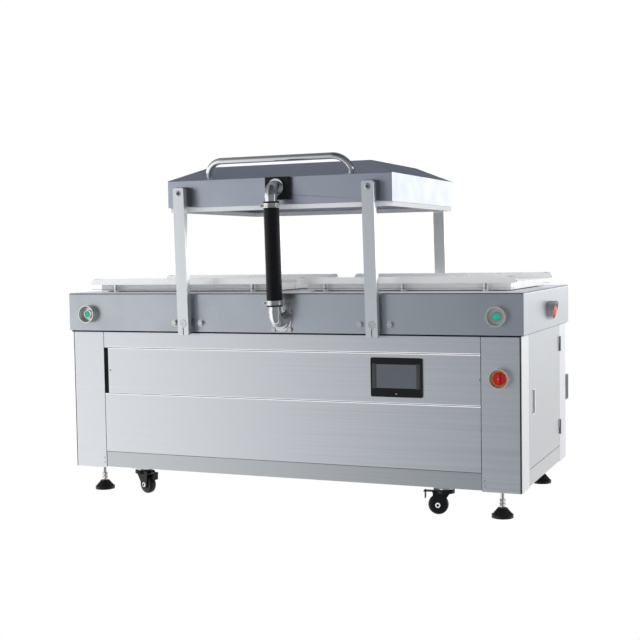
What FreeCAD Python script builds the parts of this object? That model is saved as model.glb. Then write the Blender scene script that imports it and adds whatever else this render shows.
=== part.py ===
import FreeCAD, Part
import os
import re
import sys
import Sketcher

# Double-chamber vacuum packing machine, millimetres.
# Frame: origin on the floor under the middle of the deck, X along the front, -Y towards
# the operator, Z up. The lid hangs on two pairs of parallel arms and swings over the left
# or the right half of the deck, always level.

doc = FreeCAD.newDocument("VacuumPackingMachine")

# ---------------------------------------------------------------- driving dimensions
SIZES = {
    # deck: the folded worktop with its skirt
    "deck_length": 1900, "deck_depth": 830, "deck_height": 824, "skirt_drop": 154,
    "deck_sheet": 5, "deck_bend": 8,
    # cabinet under the deck
    "side_inset": 11, "front_inset": 6, "rear_inset": 14, "panel_sheet": 2,
    "floor_gap": 108, "post_drop": 4, "post_front": 146, "post_side": 124,
    "seam": 2, "corner_groove": 6, "strip_height": 70, "control_height": 187,
    "kick_height": 63, "kick_recess": 2, "dark_slot": 18, "frame_inset": 4, "frame_tube": 40,
    "panel_lap": 2, "tray_sheet": 3,
    # swing linkage
    "arm_spacing": 788, "arm_length": 508, "arm_width": 47, "arm_thickness": 25,
    "arm_gap": 15, "arm_top": 22, "arm_bottom": 46, "arm_corner": 8, "clamp_slot": 4,
    "shaft_drop": 119, "shaft_diameter": 30, "shaft_clearance": 2,
    "swing_angle": 68, "rest_lean": -1,
    "pin_diameter": 24, "pin_clearance": 0.05, "bore_clearance": 0.08, "loose_clearance": 0.4, "open_clearance": 0.5, "side_clearance": 0.5,
    # bearings behind the skirt
    "bearing_flange": 150, "bearing_height": 54, "bearing_plate": 14, "bearing_barrel": 30,
    "bearing_bolts": 119, "bolt_shank": 12, "bolt_hole": 13, "bolt_head": 21,
    "bolt_head_height": 7.5, "washer_diameter": 28, "washer_thickness": 2.5,
    # lid
    "lid_length": 941.5, "lid_depth": 802, "lid_side": 106.5, "lid_roof": 57.5,
    "roof_inset": 126, "lid_sheet": 5, "rim_flange": 3, "gasket_width": 11,
    "gasket_inset": 2, "gasket_height": 17.3, "gasket_radius": 28, "closing_gap": 0.5,
    "handle_tube": 25, "handle_straight": 465, "handle_bend": 68, "handle_rise": 60,
    "handle_foot": 38,
    "block_width": 44, "block_height": 74, "block_foot": 5,
    # seal bars
    "bar_length": 856, "bar_width": 28, "bar_height": 24, "bar_offset": 310,
    "bar_chamfer": 10, "bar_rise": 6, "bar_gap": 2, "ram_diameter": 22, "ram_height": 30,
    "piston_diameter": 8, "piston_depth": 20, "ram_pitch": 315, "ram_bore": 26,
    "counter_width": 30, "counter_height": 30, "strip_thickness": 8, "strip_width": 24,
    "hanger_diameter": 16,
    # filler boards between the bars
    "board_length": 808, "board_thickness": 30, "board_depth": 188, "board_gap": 5,
    "board_foot": 4,
    # hose between deck and lid
    "hose_x": 15, "hose_drop": 107, "hose_outer": 60, "hose_bore": 48.4, "pipe_outer": 48,
    "pipe_bore": 42, "elbow_radius": 34, "elbow_stub": 8, "elbow_leg": 52, "hose_lap": 30,
    "socket_diameter": 64, "socket_length": 12, "spigot_diameter": 40, "spigot_length": 11,
    "flange_diameter": 84, "flange_thickness": 6, "flange_bolts": 68, "port_plate": 99,
    "port_height": 87, "port_depth": 20, "clamp_band": 12, "clamp_wall": 1.5,
    # controls
    "guard_outer": 72, "guard_wall": 3.5, "guard_reach": 27, "button_x": 854,
    "button_drop": 86.5, "bezel_diameter": 32, "lens_diameter": 24, "button_travel": 3,
    "barrel_diameter": 22, "barrel_length": 40, "collar_height": 9, "disc_thickness": 3, "lens_height": 7, "estop_y": 31, "estop_reach": 33,
    "estop_low": 15, "mushroom_diameter": 40, "mushroom_height": 14, "estop_stem": 16,
    "switch_x": 862, "switch_drop": 308, "knob_diameter": 46,
    "screen_x": 473.5, "screen_drop": 314, "screen_width": 200.4, "screen_height": 146.5,
    "glass_width": 154, "glass_height": 88, "bezel_proud": 6, "screen_body": 40,
    # doors
    "door_pull_y": 214, "door_pull_drop": 412, "pull_height": 86, "pull_width": 26,
    "pull_depth": 14, "hinge_knuckle": 7, "hinge_length": 60, "hinge_spread": 340,
    "hinge_pin": 4, "hinge_proud": 0.5, "door_gap": 4,
    # feet and casters
    "foot_x": 850, "foot_y": 338, "foot_pad": 80, "foot_neck": 34, "foot_height": 36,
    "foot_rim": 12, "stud_diameter": 14, "nut_size": 25, "nut_height": 9,
    "caster_x": 643, "caster_y": 366, "wheel_diameter": 75, "wheel_width": 30,
    "wheel_lift": 2, "caster_trail": 26, "caster_plate": 70, "plate_thickness": 4,
    "caster_stem": 26, "stem_height": 8, "fork_gap": 36, "fork_sheet": 4, "axle_diameter": 10,
    "hub_diameter": 34, "hood_diameter": 70, "hood_height": 12, "caster_rail": 80, "kingpin": 8, "pedal_length": 38,
    "pedal_width": 22, "pedal_thickness": 4, "pedal_drop": 9,
    # inside
    "pump_x": -120, "pump_y": -20, "pump_length": 360, "pump_depth": 300, "pump_height": 250,
    "motor_diameter": 200, "motor_length": 280, "box_x": 500, "box_width": 400,
    "box_depth": 150, "box_height": 360, "trafo_x": 640, "trafo_size": 150,
    "socket_x": 906, "socket_z": 391, "socket_width": 58, "socket_hood": 102,
    "socket_reach": 92,
}

# Sizes that follow from the driving ones. Each is a formula of the sheet.
DERIVED = {
    "cabinet_x": "deck_length / 2 - side_inset",
    "front_y": "-(deck_depth / 2) + front_inset",
    "back_y": "deck_depth / 2 - rear_inset",
    "skirt_z": "deck_height - skirt_drop",
    "panel_top": "deck_height - skirt_drop + panel_lap",
    "strip_z": "deck_height - skirt_drop - strip_height",
    "control_z": "deck_height - skirt_drop - strip_height - control_height",
    "lower_z": "floor_gap + kick_height",
    "opening_x": "deck_length / 2 - side_inset - post_front",
    "door_front": "-(deck_depth / 2) + front_inset + post_side",
    "door_back": "deck_depth / 2 - rear_inset - post_side",
    "frame_x": "deck_length / 2 - side_inset - frame_inset",
    "frame_front": "-(deck_depth / 2) + front_inset + frame_inset",
    "frame_back": "deck_depth / 2 - rear_inset - frame_inset",
    "tray_z": "floor_gap + frame_tube + tray_sheet",
    "shaft_z": "deck_height - shaft_drop",
    "arm_front": "-(deck_depth / 2) - arm_gap - arm_thickness",
    "lid_x": "arm_length * sin(rest_lean)",
    "pin_z": "deck_height - shaft_drop + arm_length * cos(rest_lean)",
    "chamber_x": "arm_length * sin(swing_angle)",
    "rim_z": "deck_height + closing_gap + gasket_height"
             " + arm_length * (cos(rest_lean) - cos(swing_angle))",
    "roof_slope": "atan(lid_roof / roof_inset)",
    "hose_z": "deck_height - hose_drop",
    "hose_y": "-(deck_depth / 2) - flange_thickness - socket_length - elbow_stub - elbow_radius",
    "counter_z": "ram_height + bar_height + bar_rise + bar_gap - closing_gap - gasket_height",
    "switch_z": "deck_height - switch_drop",
    "screen_z": "deck_height - screen_drop",
    "button_z": "deck_height - button_drop",
    "axle_z": "wheel_lift + wheel_diameter / 2",
}

sizes = doc.addObject("Spreadsheet::Sheet", "Sizes")
for row, (alias, value) in enumerate(SIZES.items(), start=1):
    sizes.set(f"A{row}", alias)
    sizes.set(f"B{row}", str(value))
    sizes.setAlias(f"B{row}", alias)

WORDS = {word: "Sizes" for word in SIZES}
WORDS.update({word: "Derived" for word in DERIVED})
PATTERN = re.compile(r"\b(" + "|".join(sorted(WORDS, key=len, reverse=True)) + r")\b")


def formula(text):
    """Write a size formula with its sheet names, as an expression needs it."""
    return PATTERN.sub(lambda found: f"{WORDS[found.group(1)]}.{found.group(1)}", str(text))


derived = doc.addObject("Spreadsheet::Sheet", "Derived")
for row, (alias, text) in enumerate(DERIVED.items(), start=1):
    derived.set(f"A{row}", alias)
    derived.set(f"B{row}", "=" + formula(text))
    derived.setAlias(f"B{row}", alias)
doc.recompute()


def value_of(alias):
    """Read one size as a number."""
    sheet = sizes if alias in SIZES else derived
    return float(getattr(sheet, alias))


# ---------------------------------------------------------------- building helpers
X_AXIS = FreeCAD.Vector(1, 0, 0)
Y_AXIS = FreeCAD.Vector(0, 1, 0)
Z_AXIS = FreeCAD.Vector(0, 0, 1)
ALONG_X = FreeCAD.Rotation(Y_AXIS, 90)
ALONG_Y = FreeCAD.Rotation(X_AXIS, -90)
ALONG_Z = FreeCAD.Rotation()
NODES = {}


def bind(item, prop, text):
    """Tie one property to a formula of the sheet."""
    item.setExpression(prop, formula(text))


def place(item, at, turn=ALONG_Z):
    """Turn an object, then tie its position to three formulas."""
    item.Placement = FreeCAD.Placement(FreeCAD.Vector(), turn)
    for letter, text in zip("xyz", at):
        bind(item, f"Placement.Base.{letter}", text)
    return item


def box(name, size, at, turn=ALONG_Z):
    """A block with one corner at the given point."""
    item = doc.addObject("Part::Box", name)
    for prop, text in zip(("Length", "Width", "Height"), size):
        bind(item, prop, text)
    return place(item, at, turn)


def block(name, low, high):
    """A block between two corners, each a triple of formulas."""
    size = [f"({b}) - ({a})" for a, b in zip(low, high)]
    return box(name, size, low)


def rod(name, diameter, length, at, turn=ALONG_Z):
    """A cylinder that starts at the given point and runs along its turned Z."""
    item = doc.addObject("Part::Cylinder", name)
    bind(item, "Radius", f"({diameter}) / 2")
    bind(item, "Height", length)
    return place(item, at, turn)


def cone(name, bottom, top, height, at, turn=ALONG_Z):
    """A cone between two diameters."""
    item = doc.addObject("Part::Cone", name)
    bind(item, "Radius1", f"({bottom}) / 2")
    bind(item, "Radius2", f"({top}) / 2")
    bind(item, "Height", height)
    return place(item, at, turn)


def wedge(name, bottom, top, height, at, turn=ALONG_Z):
    """Block with sloping sides: X and Z ranges at its bottom and its top, Y up its height."""
    item = doc.addObject("Part::Wedge", name)
    texts = dict(zip(("Xmin", "Xmax", "Zmin", "Zmax", "X2min", "X2max", "Z2min", "Z2max", "Ymin", "Ymax"),
                     (*bottom, *top, *height)))
    for prop, text in texts.items():
        bind(item, prop, text)
    return place(item, at, turn)


def hexagon(name, corners, height, at, turn=ALONG_Z):
    """A hexagonal prism, measured across its corners."""
    item = doc.addObject("Part::Prism", name)
    item.Polygon = 6
    bind(item, "Circumradius", f"({corners}) / 2")
    bind(item, "Height", height)
    return place(item, at, turn)


def bend(name, radius, tube, angle, at, turn):
    """A tube bend: part of a ring in its own XY plane, starting on its X axis."""
    item = doc.addObject("Part::Torus", name)
    bind(item, "Radius1", radius)
    bind(item, "Radius2", f"({tube}) / 2")
    bind(item, "Angle3", angle)
    return place(item, at, turn)


def towards(start, end):
    """The turn that brings a bend's first end along one axis and its last along another."""
    return FreeCAD.Rotation(start, end, start.cross(end), "XYZ")


def lean(item, at, angle="rest_lean", axis=Y_AXIS):
    """Put an object built about its own origin at a point, leaning about an axis."""
    item.Placement = FreeCAD.Placement(FreeCAD.Vector(), FreeCAD.Rotation(axis, 1))
    for letter, text in zip("xyz", at):
        bind(item, f"Placement.Base.{letter}", text)
    bind(item, "Placement.Rotation.Angle", angle)
    return item


def fuse(name, parts):
    """One solid from several that touch."""
    item = doc.addObject("Part::MultiFuse", name)
    item.Shapes = parts
    item.Refine = True
    return item


def cut(name, base, tools):
    """A solid with others taken away."""
    item = doc.addObject("Part::Cut", name)
    item.Base = base
    item.Tool = tools[0] if len(tools) == 1 else fuse(name + "_tools", tools)
    item.Refine = True
    return item


def common(name, first, second):
    """What two solids share."""
    item = doc.addObject("Part::MultiCommon", name)
    item.Shapes = [first, second]
    return item


def group(name, parts):
    """Separate solids that share one node."""
    item = doc.addObject("Part::Compound", name)
    item.Links = parts
    return item


def mirror(name, source, normal):
    """A mirrored copy about a plane through the origin."""
    item = doc.addObject("Part::Mirroring", name)
    item.Source = source
    item.Base = FreeCAD.Vector()
    item.Normal = normal
    return item


def tube(name, outer, inner, length, at, turn=ALONG_Z):
    """A straight pipe."""
    return cut(name, rod(name + "_outer", outer, length, at, turn),
               [rod(name + "_inner", inner, length, at, turn)])


def node(label, item):
    """Register a finished sub-part under the name of its file."""
    item.Label = label
    NODES[label] = item
    return item


def plane_of(body, role):
    """One of a body's own origin planes."""
    return next(part for part in body.Origin.OriginFeatures if part.Role == role)


def rectangle_sketch(body, name, width, height, x="0", y="0", plane="XY_Plane"):
    """A sketch on one of the body's planes with one dimensioned rectangle."""
    sketch = body.newObject("Sketcher::SketchObject", name)
    sketch.AttachmentSupport = [(plane_of(body, plane), "")]
    sketch.MapMode = "FlatFace"
    corners = [(0, 0), (10, 0), (10, 10), (0, 10)]
    for start, end in zip(corners, corners[1:] + corners[:1]):
        sketch.addGeometry(Part.LineSegment(FreeCAD.Vector(*start, 0), FreeCAD.Vector(*end, 0)))
    rules = [Sketcher.Constraint("Coincident", side, 2, (side + 1) % 4, 1) for side in range(4)]
    rules += [Sketcher.Constraint("Horizontal", 0), Sketcher.Constraint("Horizontal", 2)]
    rules += [Sketcher.Constraint("Vertical", 1), Sketcher.Constraint("Vertical", 3)]
    sketch.addConstraint(rules)
    dimensions = [("width", "DistanceX", (0, 1, 0, 2), width), ("height", "DistanceY", (1, 1, 1, 2), height),
                  ("left", "DistanceX", (-1, 1, 0, 1), f"({x}) - ({width}) / 2"),
                  ("low", "DistanceY", (-1, 1, 0, 1), f"({y}) - ({height}) / 2")]
    for title, kind, ends, text in dimensions:
        index = sketch.addConstraint(Sketcher.Constraint(kind, *ends, 5.0))
        sketch.renameConstraint(index, title)
        bind(sketch, f"Constraints.{title}", text)
    return sketch


def circle_sketch(body, name, diameter, x="0", y="0", plane="XY_Plane"):
    """A sketch on one of the body's planes with one dimensioned circle."""
    sketch = body.newObject("Sketcher::SketchObject", name)
    sketch.AttachmentSupport = [(plane_of(body, plane), "")]
    sketch.MapMode = "FlatFace"
    sketch.addGeometry(Part.Circle(FreeCAD.Vector(1, 1, 0), Z_AXIS, 5))
    for title, kind, ends, text in [("diameter", "Diameter", (0,), diameter),
                                    ("across", "DistanceX", (-1, 1, 0, 3), x),
                                    ("up", "DistanceY", (-1, 1, 0, 3), y)]:
        index = sketch.addConstraint(Sketcher.Constraint(kind, *ends, 5.0))
        sketch.renameConstraint(index, title)
        bind(sketch, f"Constraints.{title}", text)
    return sketch


def pad(body, sketch, length):
    """Raise a sketch along the body's Z."""
    feature = body.newObject("PartDesign::Pad", sketch.Name + "_pad")
    feature.Profile = sketch
    bind(feature, "Length", length)
    return feature


def pocket(body, sketch, depth):
    """Sink a sketch that lies on the body's XY plane up into its material."""
    feature = body.newObject("PartDesign::Pocket", sketch.Name + "_pocket")
    feature.Profile = sketch
    feature.Reversed = True
    bind(feature, "Length", depth)
    return feature


def round_edges(body, radius, wanted):
    """Fillet the edges of the body's last feature that the test accepts."""
    doc.recompute()
    tip = body.Tip
    names = [f"Edge{i}" for i, edge in enumerate(tip.Shape.Edges, start=1) if wanted(edge)]
    feature = body.newObject("PartDesign::Fillet", body.Name + f"_round{len(body.Group)}")
    feature.Base = (tip, names)
    bind(feature, "Radius", radius)
    return feature


def runs_along(axis):
    """An edge test: straight and parallel to an axis."""
    def test(edge):
        if edge.Curve.TypeId != "Part::GeomLine":
            return False
        return abs(abs(edge.tangentAt(edge.FirstParameter).dot(axis)) - 1) < 1e-6
    return test


def rounded_block(name, size, at, radius, turn=ALONG_Z):
    """A body: a rectangle raised along Z with its four upright edges rounded.

    The point is the middle of its bottom face."""
    body = doc.addObject("PartDesign::Body", name)
    pad(body, rectangle_sketch(body, name + "_outline", size[0], size[1]), size[2])
    round_edges(body, radius, runs_along(Z_AXIS))
    return place(body, at, turn)


def bolt(name, corners, head, washer, washer_thickness, shank, length, at, turn):
    """A hexagon bolt on its washer. The point is where the washer meets the work,
    and the turned Z points out of the work."""
    axis = turn.multVec(Z_AXIS)

    def along(distance):
        return [f"({text}) + ({part:g}) * ({distance})" for text, part in zip(at, axis)]

    return fuse(name, [
        rod(name + "_washer", washer, washer_thickness, at, turn),
        hexagon(name + "_head", corners, head, along(washer_thickness), turn),
        rod(name + "_shank", shank, f"({length}) + ({washer_thickness})", along(f"-({length})"), turn)])


def span(direction, text):
    """A formula on the left (-1) or right (1) side."""
    return f"{direction} * ({text})"


SIDES = {"left": -1, "right": 1}
ENDS = {"front": -1, "rear": 1}

# ---------------------------------------------------------------- welded frame and tray


def base_frame():
    """Square-tube frame: two rings, four uprights, deck bearers and caster rails."""
    parts = []
    for ring, low in (("low", "floor_gap"), ("top", "deck_height - deck_sheet - frame_tube")):
        high = f"{low} + frame_tube"
        parts.append(block(f"frame_{ring}_front", ("-frame_x", "frame_front", low),
                           ("frame_x", "frame_front + frame_tube", high)))
        parts.append(block(f"frame_{ring}_rear", ("-frame_x", "frame_back - frame_tube", low),
                           ("frame_x", "frame_back", high)))
        for side, sign in SIDES.items():
            inner = span(sign, "frame_x - frame_tube / 2") + " - frame_tube / 2"
            parts.append(box(f"frame_{ring}_{side}", ("frame_tube", "frame_back - frame_front", "frame_tube"),
                             (inner, "frame_front", low)))
    for side, sign in SIDES.items():
        left = span(sign, "frame_x - frame_tube / 2") + " - frame_tube / 2"
        for end, y in (("front", "frame_front"), ("rear", "frame_back - frame_tube")):
            parts.append(box(f"upright_{side}_{end}", ("frame_tube", "frame_tube",
                             "deck_height - deck_sheet - floor_gap"), (left, y, "floor_gap")))
        rail = span(sign, "caster_x") + " - caster_rail / 2"
        parts.append(box(f"caster_rail_{side}", ("caster_rail", "frame_back - frame_front", "frame_tube"),
                         (rail, "frame_front", "floor_gap")))
        for place_name, ratio in (("inner", 0.25), ("outer", 0.75)):
            x = span(sign, f"{ratio} * frame_x") + " - frame_tube / 2"
            parts.append(box(f"bearer_{side}_{place_name}", ("frame_tube", "frame_back - frame_front",
                             "frame_tube"), (x, "frame_front", "deck_height - deck_sheet - frame_tube")))
        for end, sign_y in ENDS.items():
            middle_y = span(sign_y, "foot_y")
            parts.append(box(f"foot_plate_{side}_{end}", ("frame_x - foot_x + 2 * frame_tube",
                             "2 * frame_tube", "frame_tube"),
                             (span(sign, "(frame_x + foot_x) / 2 - frame_tube")
                              + " - (frame_x - foot_x + 2 * frame_tube) / 2",
                              f"{middle_y} - frame_tube", "floor_gap")))
    node("base_frame", fuse("frame", parts))


def floor_tray():
    """Sheet that closes the cabinet below and carries the pump."""
    node("floor_tray", block("tray", ("-frame_x + frame_tube", "frame_front", "floor_gap + frame_tube"),
                             ("frame_x - frame_tube", "frame_back", "tray_z")))


# ---------------------------------------------------------------- deck


def deck():
    """Folded deck with rounded top edges and holes for shafts, hose and controls."""
    body = doc.addObject("PartDesign::Body", "deck_body")
    pad(body, rectangle_sketch(body, "deck_outline", "deck_length", "deck_depth"), "skirt_drop")
    top = value_of("skirt_drop")
    round_edges(body, "deck_bend", lambda edge: abs(edge.CenterOfMass.z - top) < 1e-6)
    inside = rectangle_sketch(body, "deck_inside", "deck_length - 2 * deck_sheet",
                              "deck_depth - 2 * deck_sheet")
    pocket(body, inside, "skirt_drop - deck_sheet")
    place(body, ("0", "0", "skirt_z"))
    depth = "deck_depth + 2 * deck_sheet"
    holes = []
    for side, sign in SIDES.items():
        x = span(sign, "arm_spacing / 2")
        holes.append(rod(f"shaft_hole_{side}", "shaft_diameter + 2 * shaft_clearance", depth,
                         (x, "-(deck_depth / 2) - deck_sheet", "shaft_z"), ALONG_Y))
        for step in (-1, 1):
            holes.append(rod(f"bearing_hole_{side}_{step + 1}", "bolt_hole", depth,
                             (f"{x} + {step} * bearing_bolts / 2", "-(deck_depth / 2) - deck_sheet",
                              "shaft_z"), ALONG_Y))
        holes.append(rod(f"button_hole_{side}", "barrel_diameter + 2 * loose_clearance", "3 * deck_sheet",
                         (span(sign, "button_x"), "-(deck_depth / 2) - deck_sheet", "button_z"),
                         ALONG_Y))
    holes.append(rod("hose_hole", "spigot_diameter + 6", "3 * deck_sheet",
                     ("hose_x", "-(deck_depth / 2) - deck_sheet", "hose_z"), ALONG_Y))
    for step_x in (-1, 1):
        for step_z in (-1, 1):
            holes.append(rod(f"flange_hole_{step_x + 1}{step_z + 1}", "bolt_hole - 2", "3 * deck_sheet",
                             (f"hose_x + {step_x} * flange_bolts / 2", "-(deck_depth / 2) - deck_sheet",
                              f"hose_z + {step_z} * flange_bolts / 2"), ALONG_Y))
    holes.append(rod("estop_hole", "barrel_diameter + 2 * loose_clearance", "3 * deck_sheet",
                     ("deck_length / 2 - 2 * deck_sheet", "estop_y", "button_z"), ALONG_X))
    node("deck", cut("deck_drilled", body, holes))


# ---------------------------------------------------------------- cabinet panels


def corner_posts():
    """Folded corner covers. The front ones have a dark groove down the corner."""
    low = "floor_gap - post_drop"
    lap = "2 * panel_sheet"
    front = fuse("post_front_sheet", [
        block("post_face", ("opening_x", "front_y", low), ("cabinet_x - corner_groove", "front_y + panel_sheet",
                                                         "panel_top")),
        block("post_cheek", ("cabinet_x - panel_sheet", f"front_y + {lap}", low),
              ("cabinet_x", "door_front", "panel_top")),
        block("post_inner_face", ("opening_x", "front_y + panel_sheet", low),
              ("cabinet_x - panel_sheet", f"front_y + {lap}", "panel_top")),
        block("post_inner_cheek", (f"cabinet_x - {lap}", f"front_y + {lap}", low),
              ("cabinet_x - panel_sheet", "door_front", "panel_top"))])
    bore = rod("switch_hole", "barrel_diameter + 2 * loose_clearance", "4 * panel_sheet",
               ("switch_x", "front_y - panel_sheet", "switch_z"), ALONG_Y)
    bored = cut("post_front_bored", front, [bore])
    rear = fuse("post_rear_sheet", [
        block("rear_face", ("opening_x", "back_y - panel_sheet", low), ("cabinet_x", "back_y", "panel_top")),
        block("rear_cheek", ("cabinet_x - panel_sheet", "door_back", low),
              ("cabinet_x", "back_y", "panel_top"))])
    node("corner_posts", group("posts", [bored, mirror("post_front_left", front, X_AXIS), rear,
                                        mirror("post_rear_left", rear, X_AXIS)]))


def front_panels():
    """Top strip, control panel, lower panel and kick strip between the front posts."""
    left = "-opening_x + seam"
    right = "opening_x - seam"
    face = "front_y + panel_sheet"
    node("front_top_strip", block("top_strip", (left, "front_y", "strip_z + seam / 2"),
                                  (right, face, "panel_top")))
    panel = block("control_sheet", (f"{left} + dark_slot", "front_y", "control_z + seam / 2"),
                  (right, face, "strip_z - seam / 2"))
    window = box("screen_window", ("screen_width - 20", "3 * panel_sheet", "screen_height - 20"),
                 ("screen_x - screen_width / 2 + 10", "front_y - panel_sheet",
                  "screen_z - screen_height / 2 + 10"))
    node("control_panel", cut("control_cut", panel, [window]))
    node("lower_front_panel", block("lower_sheet", (left, "front_y", "lower_z + seam / 2"),
                                    (right, face, "control_z - seam / 2")))
    kick = block("kick_sheet", (left, "front_y + kick_recess", "floor_gap"),
                 (right, "front_y + kick_recess + panel_sheet", "lower_z - seam / 2"))
    side = block("side_kick_right", ("cabinet_x - panel_sheet", "door_front + seam", "floor_gap"),
                 ("cabinet_x", "door_back - seam", "lower_z - seam"))
    node("kick_strips", group("kicks", [kick, side, mirror("side_kick_left", side, X_AXIS)]))


def rear_panel():
    """Screwed rear panel with two fields of ventilation slots."""
    sheet = block("rear_sheet", ("-opening_x + seam", "back_y - panel_sheet", "floor_gap"),
                  ("opening_x - seam", "back_y", "panel_top"))
    slots = []
    for side, sign in SIDES.items():
        for row in range(8):
            slots.append(box(f"vent_{side}_{row}", ("200", "3 * panel_sheet", "8"),
                             (f"{sign} * 350 - 100", "back_y - 2 * panel_sheet", f"300 + {row} * 22")))
    node("rear_panel", cut("rear_slotted", sheet, slots))


def side_doors():
    """Hinged side doors with recessed pulls, and the hinge leaves on the rear posts."""
    high = "skirt_z - door_gap"
    outer = "cabinet_x"
    hinge_x = "cabinet_x + hinge_proud + hinge_knuckle / 2"
    hinge_y = "door_back - seam / 2"
    sheet = block("door_sheet", (f"{outer} - panel_sheet", "door_front + seam", "lower_z"),
                  (outer, "door_back - seam", high))
    folds = [
        block("door_fold_front", (f"{outer} - 16", "door_front + seam", "lower_z"),
              (f"{outer} - panel_sheet", "door_front + seam + panel_sheet", "lower_z + 440")),
        block("door_fold_low", (f"{outer} - 16", "door_front + seam", "lower_z"),
              (f"{outer} - panel_sheet", "door_back - 40", "lower_z + panel_sheet"))]
    pull_z = "deck_height - door_pull_drop"
    hole = box("pull_hole", ("3 * panel_sheet", "pull_width", "pull_height"),
               (f"{outer} - 2 * panel_sheet", "-door_pull_y - pull_width / 2", f"{pull_z} - pull_height / 2"))
    cup = cut("pull_cup", box("pull_cup_outer", ("pull_depth", "pull_width + 4", "pull_height + 4"),
                              (f"{outer} - panel_sheet - pull_depth", "-door_pull_y - pull_width / 2 - 2",
                               f"{pull_z} - pull_height / 2 - 2")),
              [box("pull_cup_inner", ("pull_depth", "pull_width", "pull_height"),
                   (f"{outer} - panel_sheet - pull_depth + 1.5", "-door_pull_y - pull_width / 2",
                    f"{pull_z} - pull_height / 2"))])
    knuckles = []
    leaves = []
    for step in (-1, 1):
        middle = f"(lower_z + {high}) / 2 + {step} * hinge_spread / 2"
        low_z = f"{middle} - hinge_length / 2"
        knuckles.append(cut(f"knuckle_{step + 1}", fuse(f"knuckle_body_{step + 1}", [
            rod(f"knuckle_rod_{step + 1}", "hinge_knuckle", "hinge_length / 2 - 0.5",
                (hinge_x, hinge_y, f"{middle} + 0.5")),
            box(f"door_leaf_{step + 1}", ("1.5", "26", "hinge_length / 2 - 0.5"),
                (outer, f"{hinge_y} - 26", f"{middle} + 0.5"))]),
            [rod(f"knuckle_bore_{step + 1}", "hinge_pin + 2 * bore_clearance", "hinge_length / 2",
                 (hinge_x, hinge_y, f"{middle} + 0.5"))]))
        leaves.append(fuse(f"post_leaf_{step + 1}", [
            rod(f"post_knuckle_{step + 1}", "hinge_knuckle", "hinge_length / 2 - 0.5",
                (hinge_x, hinge_y, low_z)),
            rod(f"post_pin_{step + 1}", "hinge_pin", "hinge_length - 3", (hinge_x, hinge_y, low_z)),
            box(f"post_plate_{step + 1}", ("1.5", "26", "hinge_length / 2 - 0.5"),
                (outer, hinge_y, low_z))]))
    door = fuse("door_right", [cut("door_sheet_cut", sheet, [hole]), cup] + folds + knuckles)
    node("side_door_right", door)
    node("side_door_left", mirror("door_left", door, X_AXIS))
    right = group("leaves_right", leaves)
    node("door_hinge_leaves", group("leaves_all", [right, mirror("leaves_left", right, X_AXIS)]))


# ---------------------------------------------------------------- controls


def screen():
    """Touch screen: black housing through the control panel, glass in front."""
    housing = fuse("screen_housing", [
        rounded_block("screen_front", ("screen_width", "screen_height", "bezel_proud"),
                      ("screen_x", "front_y", "screen_z"), "6", FreeCAD.Rotation(X_AXIS, 90)),
        box("screen_rear", ("screen_width - 22", "screen_body", "screen_height - 22"),
            ("screen_x - screen_width / 2 + 11", "front_y", "screen_z - screen_height / 2 + 11"))])
    pane = ("glass_width", "2", "glass_height")
    corner = ("screen_x - glass_width / 2", "front_y - bezel_proud", "screen_z - glass_height / 2 + 4")
    node("screen_bezel", cut("screen_frame", housing, [box("glass_seat", pane, corner)]))
    node("screen_glass", box("glass_pane", pane, corner))


def guard(name, reach, at, turn):
    """Stainless guard ring on its base disc with a threaded barrel behind.

    The point is on the panel face and the turned Z points out of the panel."""
    axis = turn.multVec(Z_AXIS)
    behind = [f"({text}) - ({part:g}) * barrel_length" for text, part in zip(at, axis)]
    return fuse(name, [
        tube(name + "_ring", "guard_outer", "guard_outer - 2 * guard_wall", reach, at, turn),
        rod(name + "_disc", "guard_outer - guard_wall", "disc_thickness", at, turn),
        rod(name + "_barrel", "barrel_diameter", "barrel_length", behind, turn),
        rod(name + "_collar", "bezel_diameter", "collar_height", at, turn)])


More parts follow.
